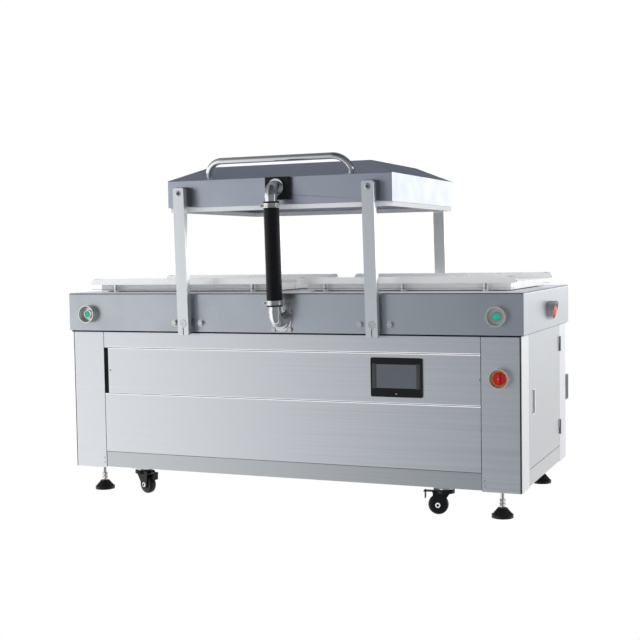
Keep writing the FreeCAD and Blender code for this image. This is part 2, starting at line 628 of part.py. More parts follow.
def controls():
    """Two lit start buttons, emergency stop and main switch in their guards."""
    facing = FreeCAD.Rotation(X_AXIS, 90)
    guards = []
    for side, sign in SIDES.items():
        at = (span(sign, "button_x"), "-(deck_depth / 2)", "button_z")
        ring = guard(f"button_guard_{side}", "guard_reach", at, facing)
        bore = rod(f"lens_bore_{side}", "lens_diameter + 2 * loose_clearance", "collar_height",
                   (at[0], f"{at[1]} - disc_thickness - collar_height", at[2]), ALONG_Y)
        guards.append(cut(f"button_guard_bored_{side}", ring, [bore]))
        node(f"start_button_{side}", rod(f"lens_{side}", "lens_diameter", "lens_height",
                                         (at[0], f"{at[1]} - disc_thickness - button_travel - 0.5"
                                          " - lens_height", at[2]), ALONG_Y))

    out = ALONG_X
    at = ("deck_length / 2", "estop_y", "button_z")
    upright = FreeCAD.Rotation(FreeCAD.Vector(1, 1, 1), 120)
    slope = wedge("estop_slope", ("-guard_outer", "guard_outer", "estop_low", "2 * estop_reach"),
                  ("-guard_outer", "guard_outer", "estop_reach", "2 * estop_reach"),
                  ("-guard_outer / 2", "guard_outer / 2"), at, upright)
    shell = cut("estop_guard_open", guard("estop_guard_body", "estop_reach", at, out), [slope])
    bore = rod("estop_bore", "estop_stem + 2 * loose_clearance", "30",
               ("deck_length / 2 - 10", "estop_y", "button_z"), out)
    guards.append(cut("estop_guard_bored", shell, [bore]))
    node("estop_button", fuse("estop_mushroom", [
        rod("mushroom_stem", "estop_stem", "14 + button_travel + 2",
            ("deck_length / 2 - 2", "estop_y", "button_z"), out),
        cone("mushroom_head", "mushroom_diameter", "mushroom_diameter - 8", "mushroom_height",
             ("deck_length / 2 + 10 + button_travel", "estop_y", "button_z"), out)]))

    at = ("switch_x", "front_y", "switch_z")
    shell = guard("main_switch_guard_body", "guard_reach", at, facing)
    bore = rod("switch_bore", "estop_stem + 2 * loose_clearance", "30",
               ("switch_x", "front_y - 20", "switch_z"), ALONG_Y)
    guards.append(cut("main_switch_guard_bored", shell, [bore]))
    node("switch_guards", group("guards", guards))
    node("main_switch_knob", fuse("switch_knob", [
        rod("knob_stem", "estop_stem", "20", ("switch_x", "front_y - 10 - 2", "switch_z"), ALONG_Y),
        rod("knob_disc", "knob_diameter", "6", ("switch_x", "front_y - 10 - 6", "switch_z"), ALONG_Y),
        box("knob_grip", ("12", "10", "knob_diameter - 4"),
            ("switch_x - 6", "front_y - 10 - 16", "switch_z - knob_diameter / 2 + 2"))]))


# ---------------------------------------------------------------- chambers


def seal_bars():
    """Four seal bars on pneumatic rams, and the filler boards between them."""
    rams = []
    boards = []
    for side, sign in SIDES.items():
        centre = span(sign, "chamber_x")
        for end, sign_y in ENDS.items():
            y = span(sign_y, "bar_offset")
            base = "deck_height + ram_height"
            name = f"seal_bar_{side}_{end}"
            bar = doc.addObject("Part::Wedge", name + "_profile")
            half = "bar_length / 2"
            for prop, text in (("Xmin", "-" + half), ("Xmax", half), ("Zmin", "-bar_width / 2"),
                               ("Zmax", "bar_width / 2"), ("Z2min", "-bar_width / 2"),
                               ("Z2max", "bar_width / 2"), ("X2min", f"-{half} + bar_chamfer"),
                               ("X2max", f"{half} - bar_chamfer"), ("Ymin", "0"), ("Ymax", "bar_chamfer")):
                bind(bar, prop, text)
            place(bar, (centre, y, f"{base} + bar_height - bar_chamfer"), FreeCAD.Rotation(X_AXIS, 90))
            foot = box(name + "_foot", ("bar_length", "bar_width", "bar_height - bar_chamfer"),
                       (f"{centre} - bar_length / 2", f"{y} - bar_width / 2", base))
            pistons = []
            for step in (-1, 0, 1):
                x = f"{centre} + {step} * ram_pitch"
                pistons.append(rod(f"{name}_piston_{step + 1}", "piston_diameter", "piston_depth",
                                   (x, y, f"{base} - piston_depth")))
                rams.append(cut(f"{name}_ram_{step + 1}", rod(f"{name}_ram_body_{step + 1}", "ram_diameter",
                                                              "ram_height", (x, y, "deck_height")),
                                [rod(f"{name}_ram_bore_{step + 1}", "piston_diameter + 2 * bore_clearance", "ram_bore",
                                     (x, y, f"{base} - ram_bore"))]))
            node(name, fuse(name + "_bar", [foot, bar] + pistons))
        for row in (-1, 0, 1):
            low_y = f"{row} * (board_depth + board_gap) - board_depth / 2"
            boards.append(fuse(f"board_{side}_{row + 1}", [
                box(f"board_top_{side}_{row + 1}", ("board_length", "board_depth", "board_thickness - board_foot"),
                    (f"{centre} - board_length / 2", low_y, "deck_height + board_foot")),
                box(f"board_foot_{side}_{row + 1}", ("board_length - 40", "board_depth - 40", "board_foot"),
                    (f"{centre} - board_length / 2 + 20", f"{low_y} + 20", "deck_height"))]))
    node("bar_lift_rams", group("rams", rams))
    node("filler_boards", group("boards", boards))


# ---------------------------------------------------------------- lid


def hip_roof(name, shrink, low, high_trim="0"):
    """Solid of the lid's outside, or of its cavity when shrunk by the sheet."""
    length = f"(lid_length / 2 - {shrink})"
    depth = f"(lid_depth / 2 - {shrink})"
    walls = block(name + "_walls", (f"lid_x - {length}", f"-{depth}", f"rim_z + {low}"),
                  (f"lid_x + {length}", depth, "rim_z + lid_side"))
    roof = doc.addObject("Part::Wedge", name + "_roof")
    rise = f"(lid_roof - {high_trim})"
    inset = f"(roof_inset * {rise} / lid_roof)"
    for prop, text in (("Xmin", f"-{length}"), ("Xmax", length), ("Zmin", f"-{depth}"), ("Zmax", depth),
                       ("X2min", f"-{length} + {inset}"), ("X2max", f"{length} - {inset}"),
                       ("Z2min", f"-{depth} + {inset}"), ("Z2max", f"{depth} - {inset}"),
                       ("Ymin", "0"), ("Ymax", rise)):
        bind(roof, prop, text)
    place(roof, ("lid_x", "0", "rim_z + lid_side"), FreeCAD.Rotation(X_AXIS, 90))
    return fuse(name, [walls, roof])


def ring_of(name, outer_shrink, inner_shrink, low, high, radius):
    """A rounded rectangular ring that follows the lid's rim."""
    sides = []
    for part, shrink in (("outer", outer_shrink), ("inner", inner_shrink)):
        sides.append(rounded_block(f"{name}_{part}",
                                   (f"lid_length - 2 * ({shrink})", f"lid_depth - 2 * ({shrink})",
                                    f"({high}) - ({low})"),
                                   ("lid_x", "0", f"rim_z + ({low})"),
                                   f"{radius} - ({shrink})"))
    return cut(name, sides[0], sides[1:])


def lid():
    """Welded lid with gasket, counter bars, handle, arm blocks and hose port."""
    outside = hip_roof("lid_outside", "0", "0")
    cavity = hip_roof("lid_cavity", "lid_sheet", "rim_flange", "lid_sheet")
    mouth = block("lid_mouth", ("lid_x - lid_length / 2 + gasket_inset + gasket_width",
                                "-lid_depth / 2 + gasket_inset + gasket_width", "rim_z"),
                  ("lid_x + lid_length / 2 - gasket_inset - gasket_width",
                   "lid_depth / 2 - gasket_inset - gasket_width", "rim_z + rim_flange"))
    port = rod("lid_port", "spigot_diameter + 6", "3 * lid_sheet",
               ("hose_x + lid_x", "-lid_depth / 2 - lid_sheet", "hose_z + arm_length * cos(rest_lean)"),
               ALONG_Y)
    node("lid_shell", cut("lid_hollow", outside, [cavity, mouth, port]))
    node("lid_gasket", ring_of("gasket", "gasket_inset", "gasket_inset + gasket_width",
                               "-gasket_height", "0", "gasket_radius"))

    bars = []
    strips = []
    for end, sign_y in ENDS.items():
        y = span(sign_y, "bar_offset")
        low = "rim_z + counter_z + strip_thickness"
        channel = box(f"counter_channel_{end}", ("bar_length", "counter_width", "counter_height"),
                      ("lid_x - bar_length / 2", f"{y} - counter_width / 2", low))
        pins = [rod(f"hanger_{end}_{step + 1}", "hanger_diameter", "lid_side + lid_roof",
                    (f"lid_x + {step} * ram_pitch", y, low)) for step in (-1, 0, 1)]
        hung = common(f"counter_in_lid_{end}", fuse(f"counter_raw_{end}", [channel] + pins),
                      hip_roof(f"hanger_limit_{end}", "lid_sheet", "rim_flange", "lid_sheet"))
        bars.append(hung)
        strips.append(box(f"silicone_{end}", ("bar_length", "strip_width", "strip_thickness"),
                          ("lid_x - bar_length / 2", f"{y} - strip_width / 2", "rim_z + counter_z")))
    node("counter_bars", group("counters", bars))
    node("silicone_strips", group("silicones", strips))
    handle()
    arm_blocks()
    hose_port()


def handle():
    """Bent tube handle that stands square on the front slope of the lid."""
    half = "handle_straight / 2"
    middle = "handle_rise - handle_bend"
    parts = [rod("handle_bar", "handle_tube", "handle_straight", (f"-{half}", "0", "handle_rise"), ALONG_X)]
    for side, sign in SIDES.items():
        parts.append(bend(f"handle_bend_{side}", "handle_bend", "handle_tube", "90",
                          (span(sign, half), "0", middle), towards(Z_AXIS, X_AXIS * sign)))
    standing = lean(fuse("handle_raw", parts),
                    ("lid_x", "-lid_depth / 2 + handle_foot * cos(roof_slope)",
                     "rim_z + lid_side + handle_foot * sin(roof_slope)"), "roof_slope", X_AXIS)
    node("lid_handle", cut("handle_trimmed", standing, [hip_roof("handle_limit", "0", "0")]))


def arm_blocks():
    """Black blocks on the lid ends, each with the pin that carries one arm."""
    parts = []
    depth = "-lid_depth / 2 - (-(deck_depth / 2) - arm_gap) - side_clearance"
    for side, sign in SIDES.items():
        x = "lid_x + " + span(sign, "arm_spacing / 2")
        start = "-(deck_depth / 2) - arm_gap + side_clearance"
        front = fuse(f"arm_block_{side}", [
            box(f"arm_block_body_{side}", ("block_width", depth, "block_height"),
                (f"{x} - block_width / 2", start, "rim_z + block_foot")),
            rod(f"arm_pin_{side}", "pin_diameter", "arm_thickness + side_clearance",
                (x, "arm_front", "pin_z"), ALONG_Y)])
        parts += [front, mirror(f"arm_block_{side}_rear", front, Y_AXIS)]
    node("arm_blocks", group("blocks", parts))


def hose_port():
    """Black plate on the lid's front where the hose elbow turns."""
    z = "hose_z + arm_length * cos(rest_lean)"
    plate = box("port_plate_body", ("port_plate", "port_depth", "port_height"),
                ("hose_x + lid_x - port_plate / 2", "-lid_depth / 2 - port_depth", f"{z} - port_height / 2 - 4"))
    bore = rod("port_bore", "spigot_diameter + 4", "2 * port_depth",
               ("hose_x + lid_x", "-lid_depth / 2 - 1.5 * port_depth", z), ALONG_Y)
    node("hose_port_plate", cut("port_bored", plate, [bore]))


# ---------------------------------------------------------------- swing linkage


def arm(name, clearance):
    """Flat arm in its own frame: X across, Z along the arm, -Y through its thickness,
    with the shaft's axis at the origin."""
    body = doc.addObject("PartDesign::Body", name)
    outline = rectangle_sketch(body, name + "_outline", "arm_width", "arm_bottom + arm_length + arm_top",
                               "0", "(arm_length + arm_top - arm_bottom) / 2", "XZ_Plane")
    pad(body, outline, "arm_thickness")
    round_edges(body, "arm_corner", runs_along(Y_AXIS))
    holes = [circle_sketch(body, name + "_shaft_hole", "shaft_diameter", "0", "0", "XZ_Plane"),
             circle_sketch(body, name + "_pin_hole", f"pin_diameter + 2 * {clearance}", "0", "arm_length",
                           "XZ_Plane"),
             rectangle_sketch(body, name + "_slot", "clamp_slot", "arm_bottom", "0", "-arm_bottom / 2",
                              "XZ_Plane")]
    for hole in holes:
        pocket(body, hole, "2 * arm_thickness")
    return body


def linkage():
    """Two through shafts, each with a clamped arm at both ends, in flanged bearings."""
    for side, sign in SIDES.items():
        x = span(sign, "arm_spacing / 2")
        clearance = "pin_clearance" if side == "left" else "open_clearance"
        pair = [lean(arm(f"arm_{side}_front", clearance), (x, "arm_front + arm_thickness", "shaft_z")),
                lean(arm(f"arm_{side}_rear", clearance), (x, "-arm_front", "shaft_z"))]
        node(f"arms_{side}", group(f"arm_pair_{side}", pair))
        node(f"shaft_{side}", rod(f"shaft_rod_{side}", "shaft_diameter", "-2 * arm_front",
                                  (x, "arm_front", "shaft_z"), ALONG_Y))


def bearings():
    """Flanged bearings inside the skirt and the bolts through it."""
    out = FreeCAD.Rotation(X_AXIS, 90)
    housings = []
    bolts = []
    face = "-(deck_depth / 2) + deck_sheet"
    for side, sign in SIDES.items():
        x = span(sign, "arm_spacing / 2")
        holes = [rod(f"bearing_bore_{side}", "shaft_diameter + 2 * pin_clearance",
                     "bearing_plate + bearing_barrel", (x, face, "shaft_z"), ALONG_Y)]
        for step in (-1, 1):
            bolt_x = f"{x} + {step} * bearing_bolts / 2"
            holes.append(rod(f"bearing_bolt_hole_{side}_{step + 1}", "bolt_hole", "bearing_plate",
                             (bolt_x, face, "shaft_z"), ALONG_Y))
            front = bolt(f"bearing_bolt_{side}_{step + 1}", "bolt_head", "bolt_head_height",
                         "washer_diameter", "washer_thickness", "bolt_shank", "deck_sheet + bearing_plate",
                         (bolt_x, "-(deck_depth / 2)", "shaft_z"), out)
            bolts += [front, mirror(f"bearing_bolt_{side}_{step + 1}_rear", front, Y_AXIS)]
        housing = cut(f"bearing_{side}", fuse(f"bearing_body_{side}", [
            box(f"bearing_flange_{side}", ("bearing_flange", "bearing_plate", "bearing_height"),
                (f"{x} - bearing_flange / 2", face, "shaft_z - bearing_height / 2")),
            rod(f"bearing_barrel_{side}", "bearing_height", "bearing_plate + bearing_barrel",
                (x, face, "shaft_z"), ALONG_Y)]), holes)
        housings += [housing, mirror(f"bearing_{side}_rear", housing, Y_AXIS)]
    node("shaft_bearings", group("bearing_group", housings))
    node("bearing_bolts", group("bearing_bolt_group", bolts))


# ---------------------------------------------------------------- hose


def elbow(name, height, up):
    """One turning elbow about the hose's own origin: socket at the wall, leg to the hose."""
    sign = 1 if up else -1
    out = FreeCAD.Rotation(X_AXIS, 90)
    run = ALONG_Z if up else FreeCAD.Rotation(X_AXIS, 180)
    face = "-(deck_depth / 2) - flange_thickness - side_clearance"
    turned = f"{height} + {sign} * elbow_radius"
    return fuse(name + "_solid", [
        rod(name + "_spigot", "spigot_diameter", "spigot_length", ("0", face, height), ALONG_Y),
        rod(name + "_socket", "socket_diameter", "socket_length - side_clearance", ("0", face, height), out),
        rod(name + "_stub", "pipe_outer", "elbow_stub + socket_length - side_clearance",
            ("0", face, height), out),
        bend(name + "_bend", "elbow_radius", "pipe_outer", "90", ("0", "hose_y + elbow_radius", turned),
             towards(Z_AXIS * -sign, -Y_AXIS)),
        rod(name + "_leg", "pipe_outer", "elbow_leg", ("0", "hose_y", turned), run),
        rod(name + "_bead", "pipe_outer + 5", "6", ("0", "hose_y", turned), run)])


def hose():
    """Suction hose between two turning elbows, parallel to the arms."""
    pivot = ("hose_x", "0", "hose_z")
    elbows = group("elbows", [elbow("elbow_low", "0", True), elbow("elbow_up", "arm_length", False)])
    node("hose_elbows", lean(elbows, pivot))
    start = "elbow_radius + elbow_leg - hose_lap"
    length = "arm_length - 2 * (elbow_radius + elbow_leg - hose_lap)"
    node("hose", lean(tube("hose_tube", "hose_outer", "hose_bore", length, ("0", "hose_y", start)), pivot))
    clamps = []
    for name, low in (("low", f"{start} + 8"), ("high", f"{start} + {length} - 8 - clamp_band")):
        outside = fuse(f"hose_clamp_{name}_solid", [
            rod(f"clamp_band_{name}", "hose_outer + 2 * clamp_wall", "clamp_band", ("0", "hose_y", low)),
            box(f"clamp_housing_{name}", ("18", "10", "clamp_band"),
                ("-hose_outer / 2 - 15", "hose_y - 5", low)),
            rod(f"clamp_screw_{name}", "7", "26",
                ("-hose_outer / 2 - 10", "hose_y - 13", f"{low} + clamp_band / 2"), ALONG_Y)])
        clamps.append(cut(f"hose_clamp_{name}", outside,
                          [rod(f"clamp_bore_{name}", "hose_outer", "clamp_band", ("0", "hose_y", low))]))
    node("hose_clamps", lean(group("clamps", clamps), pivot))


def hose_flange():
    """Ring and bolts that hold the lower elbow's seat on the skirt."""
    out = FreeCAD.Rotation(X_AXIS, 90)
    face = "-(deck_depth / 2) - flange_thickness"
    bolts = []
    reliefs = []
    for step_x in (-1, 1):
        for step_z in (-1, 1):
            at = (f"hose_x + {step_x} * flange_bolts / 2", "-(deck_depth / 2)",
                  f"hose_z + {step_z} * flange_bolts / 2")
            name = f"flange_bolt_{step_x + 1}{step_z + 1}"
            bolts.append(bolt(name, "18.5", "6.4", "21", "2", "10", "deck_sheet + bearing_plate", at, out))
            reliefs.append(rod(name + "_relief", "22", "flange_thickness", (at[0], face, at[2]), ALONG_Y))
    ring = tube("flange_ring", "flange_diameter", "spigot_diameter + 0.2", "flange_thickness",
                ("hose_x", face, "hose_z"), ALONG_Y)
    node("hose_flange", cut("flange_relieved", ring, reliefs))
    node("flange_bolts", group("flange_bolt_group", bolts))


# ---------------------------------------------------------------- feet and casters


def feet():
    """Four levelling feet: rubber pads, and studs with their nuts."""
    pads = []
    studs = []
    for side, sign in SIDES.items():
        for end, sign_y in ENDS.items():
            x = span(sign, "foot_x")
            y = span(sign_y, "foot_y")
            name = f"foot_{side}_{end}"
            pads.append(fuse(name, [
                rod(name + "_rim", "foot_pad", "foot_rim", (x, y, "0")),
                cone(name + "_cone", "foot_pad - 4", "foot_neck", "foot_height - foot_rim", (x, y, "foot_rim"))]))
            studs.append(fuse(name + "_hardware", [
                rod(name + "_stud", "stud_diameter", "floor_gap - foot_height", (x, y, "foot_height")),
                hexagon(name + "_low_nut", "nut_size", "nut_height", (x, y, "foot_height + 8")),
                hexagon(name + "_lock_nut", "nut_size", "nut_height", (x, y, "foot_height + 22")),
                hexagon(name + "_top_nut", "nut_size", "nut_height", (x, y, "floor_gap - nut_height"))]))
    node("foot_pads", group("pads", pads))
    node("foot_studs", group("studs", studs))


CASTER_TURNS = {"left_front": 340, "right_front": 190, "left_rear": 180, "right_rear": 180}


def casters():
    """Two swivelling casters with brake pedals in front, two rigid ones at the rear."""
    mounts = []
    top = "floor_gap - plate_thickness"
    crown = f"{top} - stem_height - side_clearance"
    for corner, turn_angle in CASTER_TURNS.items():
        side, end = corner.split("_")
        x = span(SIDES[side], "caster_x")
        y = span(ENDS[end], "caster_y")
        heading = FreeCAD.Rotation(Z_AXIS, turn_angle)
        trail = heading.multVec(X_AXIS)
        across = heading.multVec(Y_AXIS)

        def at(forward, sideways, height):
            """A point in the caster's own heading, as formulas."""
            return (f"{x} + ({trail.x:.6f}) * ({forward}) + ({across.x:.6f}) * ({sideways})",
                    f"{y} + ({trail.y:.6f}) * ({forward}) + ({across.y:.6f}) * ({sideways})", height)

        name = f"caster_{corner}"
        lay = heading.multiply(FreeCAD.Rotation(X_AXIS, -90))
        stand = heading.multiply(FreeCAD.Rotation(X_AXIS, 90))
        sheet = ("0", "fork_sheet")
        cheeks = []
        for step, inner, outer in ((-1, "-fork_gap / 2", "-fork_gap / 2 - fork_sheet"),
                                   (1, "fork_gap / 2 + fork_sheet", "fork_gap / 2")):
            cheeks.append(wedge(f"{name}_cheek_{step + 1}", ("caster_trail - 15", "caster_trail + 15", *sheet),
                                ("-hood_diameter / 2 + 10", "caster_trail + 20", *sheet),
                                ("0", f"{crown} - 2 - axle_z"), at("0", inner, "axle_z"), stand))
            cheeks.append(rod(f"{name}_boss_{step + 1}", "30", "fork_sheet",
                              at("caster_trail", outer, "axle_z"), lay))
        hood = rod(name + "_hood", "hood_diameter", "hood_height", (x, y, f"{crown} - hood_height"))
        bridge = fuse(name + "_crown", [hood, box(
            name + "_bridge", ("caster_trail + 14", "fork_gap + 2 * fork_sheet", "5"),
            at("0", "-fork_gap / 2 - fork_sheet", f"{crown} - 5"), heading)])
        axle = rod(name + "_axle", "axle_diameter", "fork_gap + 2 * fork_sheet + 8",
                   at("caster_trail", "-fork_gap / 2 - fork_sheet - 4", "axle_z"), lay)
        plate = box(name + "_plate", ("caster_plate", "caster_plate", "plate_thickness"),
                    (f"{x} - caster_plate / 2", f"{y} - caster_plate / 2", top))
        stem = rod(name + "_stem", "caster_stem", "stem_height", (x, y, f"{top} - stem_height"))
        if end == "rear":
            spacer = rod(name + "_spacer", "caster_stem", "stem_height", (x, y, f"{crown} - 2"))
            mounts.append(fuse(name + "_rigid", [plate, stem, spacer, axle, bridge] + cheeks))
        else:
            pin_low = f"{crown} - 7"
            pin = rod(name + "_kingpin", "kingpin", "stem_height + 7", (x, y, pin_low))
            mounts.append(fuse(name + "_mount", [plate, stem, pin]))
            fork = cut(name + "_fork", fuse(name + "_fork_body", cheeks + [bridge, axle]),
                       [rod(name + "_king_bore", "kingpin + 2 * bore_clearance", "8",
                            (x, y, f"{crown} - 7.5"))])
            node(f"caster_fork_{corner}", fork)
            node(f"brake_pedal_{corner}", fuse(name + "_pedal", [
                box(name + "_paddle", ("pedal_length", "pedal_width", "pedal_thickness"),
                    at("caster_trail + 16", "-pedal_width / 2", f"{crown} - pedal_drop"), heading),
                rod(name + "_pedal_hub", "pedal_drop - 2", "pedal_width",
                    at("caster_trail + 19", "-pedal_width / 2", f"{crown} - pedal_drop + 0.5"), lay)]))
        wheel = fuse(name + "_tyre", [
            rod(name + "_disc", "wheel_diameter", "wheel_width",
                at("caster_trail", "-wheel_width / 2", "axle_z"), lay),
            rod(name + "_hub", "hub_diameter", "fork_gap - 2 * side_clearance",
                at("caster_trail", "-fork_gap / 2 + side_clearance", "axle_z"), lay)])
        node(f"caster_wheel_{corner}", cut(name + "_wheel", wheel, [
            rod(name + "_bore", "axle_diameter + 2 * bore_clearance", "fork_gap + 2",
                at("caster_trail", "-fork_gap / 2 - 1", "axle_z"), lay)]))
    node("caster_mounts", group("caster_plates", mounts))


# ---------------------------------------------------------------- inside


def machinery():
    """Pump, motor, suction manifold, transformer, control box and air regulator."""
    node("vacuum_pump", fuse("pump", [
        rounded_block("pump_case", ("pump_length", "pump_depth", "pump_height - 30"),
                      ("pump_x", "pump_y", "tray_z + 30"), "25"),
        box("pump_feet", ("pump_length - 60", "pump_depth - 60", "30"),
            ("pump_x - pump_length / 2 + 30", "pump_y - pump_depth / 2 + 30", "tray_z")),
        rod("pump_inlet", "pipe_outer + 16", "24", ("hose_x", "pump_y", "tray_z + pump_height"))]))
    motor_z = "tray_z + 30 + (pump_height - 30) / 2"
    motor_x = "pump_x - pump_length / 2 - motor_length"
    node("pump_motor", fuse("motor", [
        rod("motor_case", "motor_diameter", "motor_length", (motor_x, "pump_y", motor_z), ALONG_X),
        box("motor_foot", ("motor_length - 80", "motor_diameter - 40", f"({motor_z}) - tray_z"),
            (f"{motor_x} + 40", "pump_y - motor_diameter / 2 + 20", "tray_z")),
        box("terminal_box", ("110", "100", "60"),
            (f"{motor_x} + 80", "pump_y - 50", f"{motor_z} + motor_diameter / 2 - 10"))]))
    wall = "-(deck_depth / 2) + deck_sheet"
    run = f"pump_y - ({wall}) - elbow_radius * 2"
    bolt_holes = []
    for step_x in (-1, 1):
        for step_z in (-1, 1):
            bolt_holes.append(rod(f"manifold_hole_{step_x + 1}{step_z + 1}", "bolt_hole - 2",
                                  "bearing_plate", (f"hose_x + {step_x} * flange_bolts / 2", wall,
                                                    f"hose_z + {step_z} * flange_bolts / 2"), ALONG_Y))
    manifold = fuse("manifold", [
        box("manifold_flange", ("flange_bolts + 20", "bearing_plate", "flange_bolts + 20"),
            ("hose_x - flange_bolts / 2 - 10", wall, "hose_z - flange_bolts / 2 - 10")),
        rod("manifold_run", "pipe_outer", run, ("hose_x", wall, "hose_z"), ALONG_Y),
        bend("manifold_bend", "elbow_radius * 2", "pipe_outer", "90",
             ("hose_x", "pump_y - elbow_radius * 2", "hose_z - elbow_radius * 2"),
             towards(Z_AXIS, Y_AXIS)),
        rod("manifold_drop", "pipe_outer", "hose_z - elbow_radius * 2 - (tray_z + pump_height + 24)",
            ("hose_x", "pump_y", "tray_z + pump_height + 24")),
        box("vacuum_valve", ("110", "90", "90"), ("hose_x - 55", f"{wall} + 90", "hose_z - 45")),
        rod("valve_coil", "40", "55", ("hose_x + 55", f"{wall} + 135", "hose_z"), ALONG_X),
        rod("vent_coil", "40", "55", ("hose_x - 110", f"{wall} + 135", "hose_z"), ALONG_X)])
    node("suction_manifold", cut("manifold_drilled", manifold, bolt_holes))
    node("sealing_transformer", fuse("transformer", [
        box("core", ("trafo_size", "trafo_size * 0.7", "trafo_size * 0.9"),
            ("trafo_x - trafo_size / 2", "150", "tray_z")),
        box("winding", ("trafo_size * 0.6", "trafo_size", "trafo_size * 0.7"),
            ("trafo_x - trafo_size * 0.3", "150 - trafo_size * 0.15", "tray_z + trafo_size * 0.1"))]))
    node("control_box", block("control_case", ("box_x - box_width / 2", "front_y + screen_body + 20", "tray_z"),
                              ("box_x + box_width / 2", "front_y + screen_body + 20 + box_depth",
                               "tray_z + box_height")))
    low = "socket_z - socket_hood / 2"
    node("power_connector", fuse("connector", [
        box("connector_seat", ("socket_width - 10", "20", "socket_hood - 10"),
            ("socket_x - socket_width / 2 + 5", "back_y", f"{low} + 5")),
        rounded_block("connector_hood", ("socket_width", "socket_reach - 20", "socket_hood"),
                      ("socket_x", "back_y + 20 + (socket_reach - 20) / 2", low), "6"),
        box("connector_latch", ("socket_width + 6", "12", "20"),
            ("socket_x - socket_width / 2 - 3", "back_y + 14", "socket_z + 8")),
        lean(rod("connector_boot", "18", "74", ("0", "0", "0")),
             ("socket_x", "back_y + 6", f"{low} - 46"), "-52", X_AXIS)]))


# ---------------------------------------------------------------- build, check, write
base_frame()
floor_tray()
deck()
corner_posts()
front_panels()
rear_panel()
side_doors()
screen()
controls()
seal_bars()
lid()
linkage()
bearings()
hose()
hose_flange()
feet()
casters()
machinery()
doc.recompute()

failed = [item.Name for item in doc.Objects if {"Invalid", "Error"} & set(item.State)]
if failed:
    sys.exit("objects that failed: " + ", ".join(failed))
for label, item in NODES.items():
    shape = item.Shape
    if shape.isNull() or not shape.isValid() or not shape.Solids:
        sys.exit(f"sub-part {label} has no valid solid")

os.makedirs("parts", exist_ok=True)
for label, item in NODES.items():
    item.Shape.exportStep(f"parts/{label}.step")
print(f"{len(NODES)} sub-parts written")
for label, item in NODES.items():
    print(f"{label}: {len(item.Shape.Solids)} solids, {item.Shape.Volume / 1e6:.3f} litres")
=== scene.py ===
from math import cos, pi, radians, sin

import bmesh
import bpy
from mathutils import Matrix, Vector


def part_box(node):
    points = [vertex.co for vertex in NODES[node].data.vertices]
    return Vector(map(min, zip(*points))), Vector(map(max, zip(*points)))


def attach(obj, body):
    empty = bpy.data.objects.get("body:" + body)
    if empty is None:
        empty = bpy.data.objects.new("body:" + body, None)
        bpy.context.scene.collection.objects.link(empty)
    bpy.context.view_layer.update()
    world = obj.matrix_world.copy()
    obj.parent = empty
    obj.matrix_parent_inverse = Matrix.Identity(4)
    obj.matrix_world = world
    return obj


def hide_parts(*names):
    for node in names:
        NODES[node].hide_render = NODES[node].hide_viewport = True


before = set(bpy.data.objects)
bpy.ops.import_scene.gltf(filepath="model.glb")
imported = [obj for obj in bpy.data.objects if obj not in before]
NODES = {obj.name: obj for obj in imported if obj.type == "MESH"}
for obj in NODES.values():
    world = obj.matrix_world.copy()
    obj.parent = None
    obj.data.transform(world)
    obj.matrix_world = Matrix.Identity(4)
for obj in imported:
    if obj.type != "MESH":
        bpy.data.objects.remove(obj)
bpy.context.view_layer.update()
MM = 0.001
X_AXIS = Vector((1, 0, 0))
Y_AXIS = Vector((0, 1, 0))
Z_AXIS = Vector((0, 0, 1))

# ------------------------------------------------------------------ camera
EYE = Vector((1.872, -4.482, 0.9784))
YAW, PITCH, ROLL = radians(22.67), radians(3.35), radians(0.945)
forward = Vector((-sin(YAW) * cos(PITCH), cos(YAW) * cos(PITCH), -sin(PITCH)))
level_right = Vector((cos(YAW), sin(YAW), 0))
level_down = forward.cross(level_right)
right = level_right * cos(ROLL) + level_down * sin(ROLL)
down = -level_right * sin(ROLL) + level_down * cos(ROLL)
camera = bpy.data.objects.new("camera", bpy.data.cameras.new("camera"))
bpy.context.scene.collection.objects.link(camera)
camera.data.lens = 65.8
camera.data.sensor_width = 36
camera.data.clip_end = 200
turn = Matrix((right, -down, -forward)).transposed()
camera.matrix_world = Matrix.Translation(EYE) @ turn.to_4x4()
bpy.context.scene.camera = camera
bpy.context.scene.view_settings.view_transform = "Standard"


# ------------------------------------------------------------------ materials
def new_material(name, colour, metallic=0.0, roughness=0.5, **inputs):
    """A Principled material and the nodes needed to add to it."""
    material = bpy.data.materials.new(name)
    material.use_nodes = True
    tree = material.node_tree
    shader = tree.nodes["Principled BSDF"]
    shader.inputs["Base Color"].default_value = (*colour, 1)
    shader.inputs["Metallic"].default_value = metallic
    shader.inputs["Roughness"].default_value = roughness
    for socket, value in inputs.items():
        label = socket.replace("_", " ").title().replace("Ior", "IOR")
        shader.inputs[label].default_value = value
    material.diffuse_color = (*colour, 1)
    return material, tree, shader


def noise(tree, stretch, scale=1.0, detail=3.0):
    """Noise in the object's own coordinates, stretched by a scale on each axis."""
    coordinates = tree.nodes.new("ShaderNodeTexCoord")
    mapping = tree.nodes.new("ShaderNodeMapping")
    mapping.inputs["Scale"].default_value = stretch
    texture = tree.nodes.new("ShaderNodeTexNoise")
    texture.inputs["Scale"].default_value = scale
    texture.inputs["Detail"].default_value = detail
    tree.links.new(coordinates.outputs["Object"], mapping.inputs["Vector"])
    tree.links.new(mapping.outputs["Vector"], texture.inputs["Vector"])
    return texture.outputs["Fac"]


def ranged(tree, source, low, high, start=0.3, end=0.7):
    """The source brought to a new range."""
    node = tree.nodes.new("ShaderNodeMapRange")
    for socket, value in (("From Min", start), ("From Max", end), ("To Min", low), ("To Max", high)):
        node.inputs[socket].default_value = value
    tree.links.new(source, node.inputs["Value"])
    return node.outputs["Result"]


